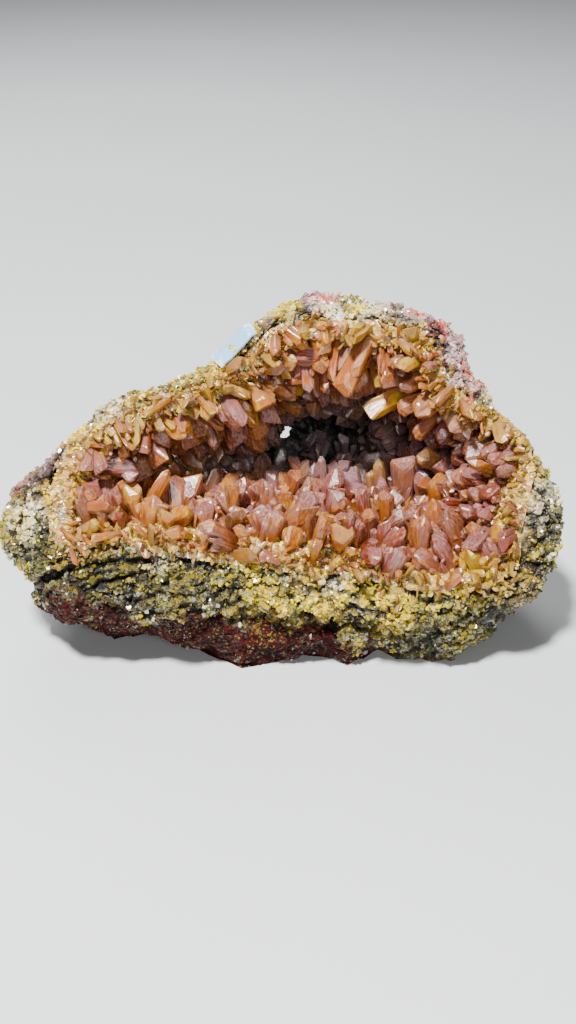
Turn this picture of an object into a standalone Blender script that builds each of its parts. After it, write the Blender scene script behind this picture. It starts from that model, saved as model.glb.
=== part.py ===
"""Orpiment: half of a broken hollow in granular sulphide rock, lined with stout resinous crystals.

The rock is one solid, open where the hollow was broken. The crystals that line the hollow are grown
together into one crust, and a scrap of paper label clings to the slope of the left shoulder.

The broken face leans back from upright, and the rock rests on its flat underside. Shapes are first
given on that face, in millimetres: "across" to the right, "up" along the face, and "depth" into the
rock. The function place turns them into metres, +Z up, with the origin in the resting face.
"""

import math
import random

import bmesh
import bpy
from mathutils import Vector, noise
from mathutils.bvhtree import BVHTree

MM = 0.001
FAR = 0.2  # beyond the rock on every side

# The broken face
FACE_TILT = math.radians(30.0)  # how far the face leans back from upright
FACE_HEIGHT = 46.0              # middle of the face above the resting face
ORIGIN_ACROSS = 1.0             # the origin, measured on the face and behind its middle
ORIGIN_BEHIND = 24.0
EYE_DISTANCE = 360.0            # the hollow is drawn as seen from this far in front of the face

# Outlines, each round the point it names: (across, up)
ROCK_MIDDLE = (3.0, 9.0)
ROCK_OUTLINE = (
    (-79, -1), (-76.5, 6.5), (-68.5, 12), (-59, 21.5), (-44, 31.5), (-36, 35), (-25.5, 37),
    (-19, 41), (-7.5, 51), (-4.5, 56.5), (1.5, 59.5), (6.5, 61), (12, 59.5), (22, 59.5),
    (32, 57.5), (36.5, 53.5), (42.5, 53), (47.5, 48), (50.5, 39.5), (55.5, 35.5), (57.5, 29.5),
    (62.5, 25), (67, 20), (68.5, 14.5), (73, 6.5), (76, -1), (76, -7.5), (74, -14), (69.5, -23),
    (64.5, -27.5), (56.5, -33.5), (48.5, -38.5), (40, -42), (32, -41.5), (25, -39.5), (20, -42),
    (9.5, -40), (-8.5, -41.5), (-19, -40), (-29, -38), (-39, -35), (-49.5, -33.5), (-59.5, -30),
    (-67.5, -26.5), (-69, -22), (-72.5, -17), (-78, -9),
)
MOUTH_OUTLINE = (
    (-58, 2.5), (-57.5, 11), (-54, 18.5), (-44, 23.5), (-34.5, 28), (-21.5, 32), (-14, 35),
    (-8, 42), (-2.5, 46.5), (4.5, 47.5), (16, 47.5), (25, 46.5), (35, 42.5), (39.5, 34), (45, 28),
    (53, 25.5), (61.5, 18.5), (63.5, 12.5), (59.5, 3), (56.5, -6.5), (57.5, -13.5), (45, -18),
    (30.5, -16.5), (21, -13.5), (11.5, -11.5), (1.5, -11), (-8, -8.5), (-18, -6.5), (-29.5, -5.5),
    (-39, -5), (-50.5, -8.5), (-57.5, -6.5),
)
HOLLOW_MIDDLE = (6.0, 20.0)
HOLLOW_OUTLINE = (
    (-41, 10), (-34, 20), (-24, 25), (-12, 28), (-4, 34), (4, 40), (18, 41), (32, 38), (41, 29),
    (44, 17), (40, 8), (25, 6), (5, 5), (-15, 5), (-30, 5),
)
CURVE_STEPS = 6      # points drawn between two outline points
FINE_STEPS = 720     # steps round the rock when its outline is measured
ROCK_SIDES = 84      # columns of faces round the rock
CRUST_SIDES = 36     # columns of faces round the crust's sheet

# Rings from the mouth outwards: (share of the way to the rock's outline, depth). The lower side is
# a thick lip over an undercut, the other sides a plain broken edge.
EDGE_RINGS = ((0.22, -1.0), (0.48, -1.5), (0.72, 0.5), (0.88, 5.0), (0.96, 10.5), (1.0, 18.0))
LIP_RINGS = ((0.16, -0.5), (0.36, 0.5), (0.55, 2.5), (0.53, 7.5), (0.80, 10.5), (1.0, 18.0))
LIP_ANGLE = math.radians(-86.0)
LIP_HALF_WIDTH = math.radians(62.0)
LIP_FULLNESS = 1.6   # how soon the lip reaches its full shape from its ends
# Rings over the back: (size against the outline, depth, every how many columns)
BACK_RINGS = ((0.98, 26.0, 1), (0.93, 37.0, 1), (0.82, 48.0, 2), (0.64, 58.0, 2), (0.36, 65.0, 4))
BACK_MIDDLE = (3.0, 2.0)
BACK_POLE_DEPTH = 68.0
# Rings into the hollow: (share of the way from the mouth to the inner outline, depth)
HOLLOW_RINGS = ((0.0, 1.5), (0.22, 8.0), (0.42, 16.0), (0.68, 26.0), (0.88, 35.0), (1.0, 42.0))
# and rings over its end: (size against the inner outline, depth, every how many columns)
HOLLOW_END_RINGS = ((0.72, 50.0, 2), (0.38, 55.5, 4))
HOLLOW_END_DEPTH = 57.5

# Roughness of the broken rock: (size of the lumps, height)
ROCK_LUMPS = ((24.0, 3.6), (11.0, 3.2), (6.0, 2.2))
HOLLOW_LUMPS = ((15.0, 0.9),)
LUMP_SEED = Vector((3.1, 7.7, 1.9))
# Single lumps and dents: (across, up, depth, radius, height)
SWELLS = (
    (-15, 46, 25, 11, 2.6), (39, 39, 3, 5, -2.2), (52, 33, 8, 6, 2.0), (-66, 2, 4, 9, 2.4),
    (-44, -20, 3, 11, -2.2), (-28, -27, 2, 10, 2.6), (-54, -24, 8, 8, 2.4), (2, -24, 0, 12, 1.8),
    (28, -27, 1, 10, 2.4), (52, -26, 4, 9, -2.0), (66, -8, 4, 8, 2.2), (-47, 28, 8, 8, 1.8),
    (-30, 20, 50, 18, 4.0), (40, 30, 48, 20, 4.5), (8, 52, 44, 14, -3.5), (-55, 0, 34, 16, 3.0),
    (22, 60, 12, 9, -5.0), (12, 60, 10, 7, -2.9), (36, 54, 10, 8, -5.0), (45, 48, 11, 7, -5.0),
    (-43, 31, 3, 6, -5.0), (72, 6, 14, 8, -5.0), (-19, -42, 18, 9, -4.0), (-53, -33, 12, 9, -5.0),
    (-75, 7, 8, 7, -3.5), (-59, 21, 4, 5, -4.4), (22, 62, 20, 9, -4.5), (30, 58, 16, 8, -5.0),
    (41, 52, 6, 5, -5.0), (75, -1, 14, 6, -5.0),
)

# A small pit in the left wall, and a window through the thin back of the hollow, each where the
# eye sees it on the face
PIT_AT = (-62.2, -17.4)
PIT_SIZE = (5.8, 3.4, 8.0)
WINDOW_AT = (-0.7, 21.2)
WINDOW_OUTLINE = ((-1.6, -1.1), (-0.5, -1.5), (1.1, -0.2), (1.5, 1.2), (0.4, 1.5), (0.3, 0.3))
WINDOW_SCALE = 0.95
WINDOW_DEPTHS = (24.0, 100.0)

CRUST_GAP = 0.6                 # what the crust keeps clear of the rock

# The crust's sheet, measured from the hollow's wall. Its rings are (share of the way in, share of
# the full thickness).
SHEET_GAP = 0.9
SHEET_THICKNESS = 1.8
SHEET_RINGS = ((-0.12, 0.4), (0.12, 1.0), (0.4, 1.0), (0.7, 1.0), (1.0, 1.0), (1.2, 1.0))
RIM_SHARE = 0.2      # shares below 0 run out over the rim, as far as this
END_SHARE = 0.2      # shares above 1 run over the hollow's end, this much for each ring
SHARE_STEP = 0.03    # steps that measure the wall's slope
ANGLE_STEP = 0.06

# Crystals, as seen from the eye: foot (across, up), tip (across, up), width
FLOOR_CRYSTALS = (
    (-6.6, 5.9, -6.5, 14.0, 5.3), (1.1, 7.9, 1.2, 12.4, 3.2), (3.4, 5.9, 3.8, 11.3, 3.7),
    (9.8, 3.5, 8.5, 14.3, 2.9), (12.5, 7.9, 13.2, 15.6, 3.4), (23.9, 2.5, 23.9, 13.1, 3.2),
    (30.3, 2.5, 29.6, 14.4, 6.6), (35.7, 1.5, 34.5, 9.1, 3.2), (39.7, 0.8, 39.7, 9.7, 5.8),
    (16.5, 1.5, 14.4, 8.6, 2.9), (20.6, -4.9, 18.9, 5.5, 3.4), (13.5, -0.2, 12.3, 5.2, 4.0),
    (7.8, -0.8, 7.8, 4.7, 4.5), (2.8, 0.8, 3.4, 5.2, 3.7), (-2.3, 0.2, -0.4, 6.6, 2.9),
    (-12.8, 1.6, -4.0, 5.3, 4.0), (-4.8, -8.5, -2.3, -0.1, 4.7), (4.1, -8.6, 3.4, 1.5, 5.3),
    (7.1, -11.6, 10.1, 1.0, 4.2), (15.9, -9.9, 16.5, -0.3, 3.2), (13.2, -7.9, 13.2, -3.9, 2.9),
    (23.9, -2.2, 23.9, 2.8, 3.4), (27.9, -1.5, 28.6, 3.9, 4.0), (28.6, -6.1, 28.6, -1.0, 3.2),
    (1.1, -10.3, 1.1, -4.2, 5.8), (23.9, -9.9, 25.6, -2.9, 3.2), (26.0, -16.9, 30.8, -10.3, 3.7),
    (34.7, -13.6, 34.4, -1.8, 4.5), (-21.7, 3.2, -21.0, 8.3, 3.2), (-16.6, 2.4, -16.6, 8.7, 4.2),
    (-11.1, 4.9, -7.4, 10.0, 4.2), (-11.1, -2.6, -5.3, 0.7, 3.2), (-11.6, -3.9, -18.3, 3.2, 3.2),
    (-14.1, -8.1, -22.5, -3.5, 4.0), (-11.1, -8.5, -12.8, -4.3, 3.7), (-7.4, -7.3, -9.0, -3.3, 2.9),
    (-27.0, -0.5, -26.6, 7.8, 6.3),
)
RIGHT_CRYSTALS = (
    (33.5, 33.1, 22.2, 26.6, 3.7), (33.5, 21.9, 28.6, 21.9, 3.2), (34.2, 15.7, 29.9, 16.4, 4.7),
    (46.4, 16.3, 44.5, 13.4, 3.2), (50.6, 12.1, 48.0, 8.4, 6.6), (44.8, -4.2, 44.3, -0.8, 6.9),
    (49.5, -2.6, 46.9, -5.5, 4.5), (39.1, -5.0, 46.1, -10.7, 4.2), (47.9, -12.0, 50.5, -5.9, 4.7),
    (55.1, 6.1, 52.2, 3.4, 5.8), (55.6, 1.1, 52.4, -1.3, 3.2), (59.8, -6.9, 55.9, -9.5, 3.7),
    (37.4, -3.2, 37.4, 0.3, 4.5),
)
LEFT_CRYSTALS = (
    (-38.2, -3.0, -30.8, 11.3, 3.7), (-38.9, 3.5, -35.9, 9.8, 2.9), (-41.4, -1.8, -40.4, 7.2, 4.5),
    (-38.9, 18.4, -38.9, 9.1, 7.4), (-36.6, 16.1, -35.9, 9.3, 3.2), (-33.4, 20.2, -32.3, 12.8, 2.9),
    (-27.9, 23.2, -29.5, 19.5, 4.0), (-27.3, 20.7, -24.3, 17.4, 4.0), (-52.5, 17.1, -54.3, 10.6, 3.7),
    (-51.5, 17.1, -49.0, 10.6, 3.7), (-44.0, 14.9, -48.0, 8.3, 2.9), (-49.0, 10.6, -49.5, 2.3, 5.3),
    (-56.5, 5.8, -52.3, 3.8, 4.0), (-56.8, 1.1, -46.5, 1.3, 3.2), (-36.6, -1.5, -28.6, -1.8, 3.7),
)
BACK_CRYSTALS = (
    (22.2, 18.0, 22.6, 24.0, 3.2), (26.0, 14.0, 25.6, 18.7, 4.0), (8.1, 14.9, 8.4, 21.0, 2.9),
    (19.5, 24.2, 17.7, 28.2, 5.3),
)
# Crystals that hang from the roof have the depth of their tips as a sixth number
ROOF_CRYSTALS = (
    (21.3, 46.7, 13.5, 31.2, 5.3, 3.0), (7.2, 46.4, 8.9, 36.6, 4.5, 4.0),
    (12.9, 46.0, 11.2, 35.6, 3.2, 4.0), (4.8, 38.3, 5.5, 32.6, 3.2, 8.0),
    (10.2, 37.6, 9.5, 32.2, 2.9, 9.0), (-22.7, 28.2, -16.0, 27.5, 3.4, 5.0),
    (-23.5, 24.5, -17.4, 22.5, 3.2, 9.0), (-18.4, 24.8, -12.3, 22.1, 3.2, 10.0),
    (-27.5, 21.5, -25.1, 17.4, 4.5, 11.0), (-20.4, 21.1, -19.1, 16.8, 3.7, 14.0),
    (-4.9, 28.9, -5.3, 24.0, 4.5, 14.0), (-8.3, 25.5, -7.0, 19.4, 6.3, 20.0),
    (-8.3, 20.8, -7.3, 15.8, 5.3, 26.0),
)
HEXAGON_FROM_WIDTH = 5.0         # wider crystals have six sides, the others four
STOUTNESS = 1.65                 # corner-to-corner width against the width across the faces
FOOT_DEPTH = 1.0                 # how deep a crystal's foot sits in the sheet
FLATNESS = 0.80                  # thickness of a crystal against its width
LONGEST_CRYSTAL = 16.5
SHORTEST_CRYSTAL = 7.5
LENGTH_FROM_SEEN = 1.4           # a facing crystal's length against what the eye sees of it
LENGTH_FROM_WIDTH = 1.9          # and its least length against its width
FOOT_SIZE = 0.80                 # width at the foot, against the widest place
EDGE_SIZE = 0.42                 # length of the chisel edge at the tip
TIP_LENGTH = 0.55                # length of the tip against the width
LONGEST_TIP = 0.34               # and at most this share of the crystal
SHOULDER_SLANT = 0.10
LARGEST_ROLL = 0.6               # turn about the crystal's own length
SIDE_REFERENCE = Vector((0.3, 1.0, 0.2))

# Crystals that fill the wall between the placed ones: share of the way in, and how many
FILL_ROWS = ((0.04, 17), (0.30, 11), (0.58, 8), (0.86, 5))
FILL_LENGTH = (8.5, 12.0)
FILL_WIDTH = (3.6, 4.9)
FILL_CLEARANCE = 5.4
FILL_OFF_ANGLE = 0.3             # how far a crystal sits off its even place, in steps
FILL_OFF_SHARE = 0.06
FILL_LEAN = 0.35
FILL_OUTWARD = 0.25              # how far they lean out of the hollow
FILL_SEED = 11

# The scrap of paper label, on the outer slope of the left shoulder
LABEL_AT = (-13.6, 43.6)   # on the face, as seen from the eye
LABEL_LENGTH = 13.0
LABEL_WIDTH = 6.5
LABEL_GAP = 0.55
LABEL_THICKNESS = 0.45
LABEL_CELLS = (8, 4)
LABEL_LEAN = 0.9       # rise of its length, for each step across
LABEL_RAGGED = 0.5
LABEL_TEARS = Vector((9.0, 5.0, 0.0))
LABEL_NARROWING = 0.5
LABEL_SEED = Vector((0.0, 0.0, 4.2))
ABOVE_THE_ROCK = 12.0  # where the search for the rock under the paper starts


def place(across, up, depth):
    """A point given on the broken face, in metres in the part's own frame."""
    back = up * math.sin(FACE_TILT) + depth * math.cos(FACE_TILT) - ORIGIN_BEHIND
    height = up * math.cos(FACE_TILT) - depth * math.sin(FACE_TILT) + FACE_HEIGHT
    return Vector((across - ORIGIN_ACROSS, back, height)) * MM


def seen_at(across, up, depth):
    """The point at this depth that the eye sees at (across, up) on the face."""
    reach = (EYE_DISTANCE + depth) / EYE_DISTANCE
    return place(across * reach, up * reach, depth)


def closed_curve(points):
    """A smooth closed curve through the outline's points, as a list of points."""
    curve = []
    count = len(points)
    for i in range(count):
        before, start, end, after = (Vector(points[(i + k) % count]) for k in (-1, 0, 1, 2))
        for step in range(CURVE_STEPS):
            t = step / CURVE_STEPS
            pull = start * 2 + (end - before) * t
            pull += (before * 2 - start * 5 + end * 4 - after) * t * t
            pull += (start * 3 - before - end * 3 + after) * t ** 3
            curve.append(pull / 2)
    return curve


class Outline:
    """A closed outline read by its distance from a middle point in any direction."""

    def __init__(self, middle, points):
        self.middle = Vector(middle)
        arms = [point - self.middle for point in closed_curve(points)]
        pairs = sorted((math.atan2(arm.y, arm.x), arm.length) for arm in arms)
        first, last = pairs[0], pairs[-1]
        turn = 2 * math.pi
        self.pairs = [(last[0] - turn, last[1])] + pairs + [(first[0] + turn, first[1])]

    def reach(self, angle):
        """Distance from the middle to the outline at this angle, between -pi and pi."""
        for (a, near), (b, far) in zip(self.pairs, self.pairs[1:]):
            if a <= angle <= b:
                share = (angle - a) / max(b - a, 1e-9)
                return near + (far - near) * share
        return self.pairs[0][1]

    def point(self, angle):
        direction = Vector((math.cos(angle), math.sin(angle)))
        return self.middle + direction * self.reach(angle)


ROCK = Outline(ROCK_MIDDLE, ROCK_OUTLINE)
MOUTH = Outline(ROCK_MIDDLE, MOUTH_OUTLINE)
INNER = Outline(HOLLOW_MIDDLE, HOLLOW_OUTLINE)


def even_angles(sides):
    """Angles that share the rock's outline into equal lengths."""
    angles = [-math.pi + 2 * math.pi * i / FINE_STEPS for i in range(FINE_STEPS + 1)]
    points = [ROCK.point(angle) for angle in angles]
    lengths = [0.0]
    for a, b in zip(points, points[1:]):
        lengths.append(lengths[-1] + (b - a).length)
    chosen = []
    at = 0
    for i in range(sides):
        wanted = lengths[-1] * i / sides
        while lengths[at + 1] < wanted:
            at += 1
        share = (wanted - lengths[at]) / (lengths[at + 1] - lengths[at])
        chosen.append(angles[at] + (angles[at + 1] - angles[at]) * share)
    return chosen


def lip_share(angle):
    """1 in the middle of the lower lip, falling smoothly to 0 at its ends."""
    off = abs(math.remainder(angle - LIP_ANGLE, 2 * math.pi)) / LIP_HALF_WIDTH
    return 0.5 + 0.5 * math.cos(math.pi * off) if off < 1 else 0.0


def edge_point(angle, ring):
    """A point on the broken edge, between the mouth and the rock's outline."""
    lip = min(1.0, LIP_FULLNESS * lip_share(angle))
    (edge_way, edge_depth), (lip_way, lip_depth) = EDGE_RINGS[ring], LIP_RINGS[ring]
    way = edge_way + (lip_way - edge_way) * lip
    depth = edge_depth + (lip_depth - edge_depth) * lip
    flat = MOUTH.point(angle).lerp(ROCK.point(angle), way)
    return place(flat.x, flat.y, depth)


def back_point(angle, ring):
    size, depth, _ = BACK_RINGS[ring]
    middle = Vector(BACK_MIDDLE)
    sunk = Vector(ROCK_MIDDLE).lerp(middle, depth / BACK_POLE_DEPTH)
    flat = sunk + (ROCK.point(angle) - Vector(ROCK_MIDDLE)) * size
    return place(flat.x, flat.y, depth)


def hollow_end_point(angle, ring):
    size, depth, _ = HOLLOW_END_RINGS[ring]
    flat = INNER.middle + (INNER.point(angle) - INNER.middle) * size
    return place(flat.x, flat.y, depth)


def hollow_point(angle, share):
    """A point on the hollow's wall: share 0 at the mouth, 1 at the inner outline.

    Below 0 it lies on the rim, and above 1 on the end of the hollow.
    """
    if share < 0:
        return hollow_point(angle, 0.0).lerp(edge_point(angle, 0), -share / RIM_SHARE)
    if share > 1:
        over = (share - 1) / END_SHARE
        if over <= 1:
            return hollow_point(angle, 1.0).lerp(hollow_end_point(angle, 0), over)
        return hollow_end_point(angle, 0).lerp(hollow_end_point(angle, 1), min(over - 1, 1.0))
    steps = len(HOLLOW_RINGS) - 1
    at = min(int(share * steps), steps - 1)
    part = share * steps - at
    way = HOLLOW_RINGS[at][0] * (1 - part) + HOLLOW_RINGS[at + 1][0] * part
    depth = HOLLOW_RINGS[at][1] * (1 - part) + HOLLOW_RINGS[at + 1][1] * part
    flat = MOUTH.point(angle).lerp(INNER.point(angle), way)
    return place(flat.x, flat.y, depth)


def lump_height(point, lumps):
    """Height of the rough surface at a point, in metres."""
    height = 0.0
    for size, rise in lumps:
        height += rise * MM * noise.noise(point / (size * MM) + LUMP_SEED)
    return height


def swell_height(point):
    """Height of the single lumps and dents at a point, in metres."""
    height = 0.0
    for across, up, depth, radius, rise in SWELLS:
        off = (point - place(across, up, depth)).length / (radius * MM)
        if off < 1:
            height += rise * MM * (1 - off * off) ** 2
    return height


def bridge(bm, ring, following):
    """Faces between two rings: quads, or triangles where one has half the points of the other."""
    if len(ring) < len(following):
        ring, following = following, ring
    count = len(following)
    for i in range(count):
        j = (i + 1) % count
        if len(ring) == count:
            bm.faces.new((ring[i], ring[j], following[j], following[i]))
            continue
        start, middle, end = ring[2 * i], ring[2 * i + 1], ring[2 * j]
        for corners in ((start, middle, following[i]), (middle, end, following[j]),
                        (middle, following[j], following[i])):
            bm.faces.new(corners)


def close_ring(bm, ring, point):
    """Triangles from a ring to one point beyond it."""
    tip = bm.verts.new(point)
    for i, vert in enumerate(ring):
        bm.faces.new((vert, ring[(i + 1) % len(ring)], tip))
    return tip


def roughen_rock(bm, hollow_verts):
    """Pushes each point in or out along its normal, less in the hollow than outside."""
    bm.normal_update()
    moves = []
    for vert in bm.verts:
        inside = vert in hollow_verts
        height = lump_height(vert.co, HOLLOW_LUMPS if inside else ROCK_LUMPS)
        moves.append(vert.normal * (height if inside else height + swell_height(vert.co)))
    for vert, move in zip(bm.verts, moves):
        vert.co += move


def rock_mesh():
    """The rock as rings: over the back, round the broken edge and down into the hollow."""
    bm = bmesh.new()
    angles = even_angles(ROCK_SIDES)
    rings = []
    for ring in reversed(range(len(BACK_RINGS))):
        every = BACK_RINGS[ring][2]
        rings.append([bm.verts.new(back_point(angle, ring)) for angle in angles[::every]])
    for ring in reversed(range(len(EDGE_RINGS))):
        rings.append([bm.verts.new(edge_point(angle, ring)) for angle in angles])
    outside = len(rings)
    steps = len(HOLLOW_RINGS) - 1
    for ring in range(len(HOLLOW_RINGS)):
        rings.append([bm.verts.new(hollow_point(angle, ring / steps)) for angle in angles])
    for ring, (_, _, every) in enumerate(HOLLOW_END_RINGS):
        rings.append([bm.verts.new(hollow_end_point(angle, ring)) for angle in angles[::every]])
    for ring, following in zip(rings, rings[1:]):
        bridge(bm, ring, following)
    close_ring(bm, rings[0], place(*BACK_MIDDLE, BACK_POLE_DEPTH))
    end = close_ring(bm, rings[-1], place(*HOLLOW_MIDDLE, HOLLOW_END_DEPTH))
    hollow_verts = {vert for ring in rings[outside - 1:] for vert in ring} | {end}
    bmesh.ops.recalc_face_normals(bm, faces=bm.faces)
    roughen_rock(bm, hollow_verts)
    bmesh.ops.triangulate(bm, faces=bm.faces)
    return bm


def sheet_point(angle, share, lift):
    """A point over the hollow's wall, lifted off it towards the middle of the hollow."""
    here = hollow_point(angle, share)
    inwards = hollow_point(angle, share + SHARE_STEP) - hollow_point(angle, share - SHARE_STEP)
    turned = [math.remainder(angle + turn, 2 * math.pi) for turn in (-ANGLE_STEP, ANGLE_STEP)]
    round_it = hollow_point(turned[1], share) - hollow_point(turned[0], share)
    return here + round_it.cross(inwards).normalized() * lift * MM


def sheet_mesh(bm):
    """The thin sheet that joins the crystals' feet."""
    angles = even_angles(CRUST_SIDES)
    edges = []
    for thickness in (0.0, SHEET_THICKNESS):
        layer = []
        for share, part in SHEET_RINGS:
            lift = SHEET_GAP + thickness * part
            layer.append([bm.verts.new(sheet_point(angle, share, lift)) for angle in angles])
        for ring, following in zip(layer, layer[1:]):
            bridge(bm, ring, following)
        end_depth = HOLLOW_END_DEPTH - SHEET_GAP - thickness
        close_ring(bm, layer[-1], place(*HOLLOW_MIDDLE, end_depth))
        edges.append(layer[0])
    bridge(bm, *edges)


def crystal(bm, foot, tip, width, roll):
    """One crystal: a flattened prism that widens from its foot and ends in a chisel edge."""
    axis = (tip - foot).normalized()
    length = (tip - foot).length
    side = axis.cross(SIDE_REFERENCE).normalized()
    side = side * math.cos(roll) + axis.cross(side) * math.sin(roll)
    across = axis.cross(side)
    sides, offset = (6, 0.0) if width >= HEXAGON_FROM_WIDTH else (4, 0.5)
    turns = [2 * math.pi * (k + offset) / sides for k in range(sides)]
    radius = STOUTNESS * width * MM / 2
    tip_share = min(LONGEST_TIP, TIP_LENGTH * width * MM / length)
    rings = []
    for share, size, slant in ((0.0, FOOT_SIZE, 0.0), (1 - tip_share, 1.0, SHOULDER_SLANT)):
        ring = []
        for turn in turns:
            out = side * math.cos(turn) + across * math.sin(turn) * FLATNESS
            along = axis * (length * share + slant * width * MM * math.cos(turn + roll))
            ring.append(bm.verts.new(foot + along + out * radius * size))
        rings.append(ring)
    ends = [bm.verts.new(tip + side * radius * EDGE_SIZE * sign) for sign in (1, -1)]
    nearest = [ends[0] if math.cos(turn) > 0 else ends[1] for turn in turns]
    made = [bm.faces.new(rings[0])]
    for k in range(sides):
        j = (k + 1) % sides
        made.append(bm.faces.new((rings[0][k], rings[0][j], rings[1][j], rings[1][k])))
        top = (nearest[k],) if nearest[k] is nearest[j] else (nearest[j], nearest[k])
        made.append(bm.faces.new((rings[1][k], rings[1][j], *top)))
    bmesh.ops.recalc_face_normals(bm, faces=made)


def limited(foot, tip):
    """The tip, moved along the crystal so that its length stays within the known sizes."""
    run = tip - foot
    length = min(max(run.length, SHORTEST_CRYSTAL * MM), LONGEST_CRYSTAL * MM)
    return foot + run.normalized() * length


def wall_foot(wall, across, up):
    """Where the eye's line through (across, up) meets the wall, and the wall's normal there."""
    eye = place(0, 0, -EYE_DISTANCE)
    way = (place(across, up, 0) - eye).normalized()
    point, normal, _, _ = wall.ray_cast(eye, way)
    if point is None:
        point, normal, _, _ = wall.find_nearest(place(across, up, 0))
    return point, normal if normal.dot(way) < 0 else -normal


def facing_crystals(wall):
    """Foot, tip and width of each crystal that stands on a wall the eye looks at."""
    found = []
    for rows in (FLOOR_CRYSTALS, RIGHT_CRYSTALS, LEFT_CRYSTALS, BACK_CRYSTALS):
        for foot_across, foot_up, tip_across, tip_up, width in rows:
            foot, normal = wall_foot(wall, foot_across, foot_up)
            seen = math.hypot(tip_across - foot_across, tip_up - foot_up)
            length = max(LENGTH_FROM_SEEN * seen, LENGTH_FROM_WIDTH * width)
            wanted = foot + normal * length * MM
            eye = place(0, 0, -EYE_DISTANCE)
            way = (place(tip_across, tip_up, 0) - eye).normalized()
            tip = eye + way * (wanted - eye).dot(way)
            found.append((foot, limited(foot, tip), width, normal))
    return found


def roof_crystals(wall):
    """Foot, tip and width of each crystal that hangs from the roof."""
    found = []
    for foot_across, foot_up, tip_across, tip_up, width, depth in ROOF_CRYSTALS:
        tip = seen_at(tip_across, tip_up, depth)
        foot, normal, _, _ = wall.find_nearest(seen_at(foot_across, foot_up, depth))
        found.append((foot, limited(foot, tip), width, normal))
    return found


def fill_crystals(wall, placed):
    """Crystals between the placed ones, standing on the wall and leaning out of the hollow."""
    rng = random.Random(FILL_SEED)
    outward = place(0, 0, -1) - place(0, 0, 0)
    found = []
    for share, count in FILL_ROWS:
        for i in range(count):
            turn = i + rng.uniform(-FILL_OFF_ANGLE, FILL_OFF_ANGLE)
            angle = math.remainder(2 * math.pi * turn / count, 2 * math.pi)
            at = hollow_point(angle, share + rng.uniform(-FILL_OFF_SHARE, FILL_OFF_SHARE))
            foot, normal, _, _ = wall.find_nearest(at)
            lean = Vector([rng.uniform(-FILL_LEAN, FILL_LEAN) for _ in range(3)])
            way = (normal + outward.normalized() * FILL_OUTWARD + lean).normalized()
            length = rng.uniform(*FILL_LENGTH) * MM
            width = rng.uniform(*FILL_WIDTH)
            if all((foot - other[0]).length > FILL_CLEARANCE * MM for other in placed + found):
                found.append((foot, foot + way * length, width, normal))
    return found


def crust_mesh(rock):
    """The sheet and all its crystals in one mesh, still to be joined."""
    wall = BVHTree.FromBMesh(rock)
    placed = facing_crystals(wall) + roof_crystals(wall)
    placed += fill_crystals(wall, placed)
    bm = bmesh.new()
    sheet_mesh(bm)
    bm.normal_update()
    bmesh.ops.recalc_face_normals(bm, faces=bm.faces)
    sheet = BVHTree.FromBMesh(bm)
    rng = random.Random(FILL_SEED + 1)
    lift = (SHEET_GAP + SHEET_THICKNESS) * MM
    for foot, tip, width, normal in placed:
        rooted, _, _, _ = sheet.find_nearest(foot + normal * lift)
        roll = rng.uniform(-LARGEST_ROLL, LARGEST_ROLL)
        crystal(bm, rooted - normal * FOOT_DEPTH * MM, tip, width, roll)
    return bm


def clearance_mesh(rock):
    """The rock grown by the gap that the crust keeps to it."""
    bm = rock.copy()
    bm.normal_update()
    for vert in bm.verts:
        vert.co += vert.normal * CRUST_GAP * MM
    return bm


def box_bounds(bm, low, high):
    """A box between two corners."""
    made = bmesh.ops.create_cube(bm, size=1.0)["verts"]
    size = Vector(high) - Vector(low)
    bmesh.ops.scale(bm, vec=size, verts=made)
    bmesh.ops.translate(bm, vec=(Vector(high) + Vector(low)) / 2, verts=made)


def window_mesh():
    """A bent prism along the eye's line, for the window at the back of the hollow."""
    bm = bmesh.new()
    ends = []
    for depth in WINDOW_DEPTHS:
        ring = []
        for across, up in WINDOW_OUTLINE:
            at = (WINDOW_AT[0] + across * WINDOW_SCALE, WINDOW_AT[1] + up * WINDOW_SCALE)
            ring.append(bm.verts.new(seen_at(*at, depth)))
        ends.append(ring)
    bridge(bm, ends[0], ends[1])
    bm.faces.new(ends[0])
    bm.faces.new(ends[1])
    bmesh.ops.recalc_face_normals(bm, faces=bm.faces)
    return bm


def pit_mesh(rock):
    """A small round pit that goes into the left wall along the eye's line."""
    at, _ = wall_foot(BVHTree.FromBMesh(rock), *PIT_AT)
    bm = bmesh.new()
    made = bmesh.ops.create_icosphere(bm, subdivisions=2, radius=0.5)["verts"]
    for vert in made:
        offset = [vert.co[k] * PIT_SIZE[k] for k in range(3)]
        vert.co = at + place(*offset) - place(0, 0, 0)
    bm.normal_update()
    bmesh.ops.recalc_face_normals(bm, faces=bm.faces)
    return bm


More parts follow.
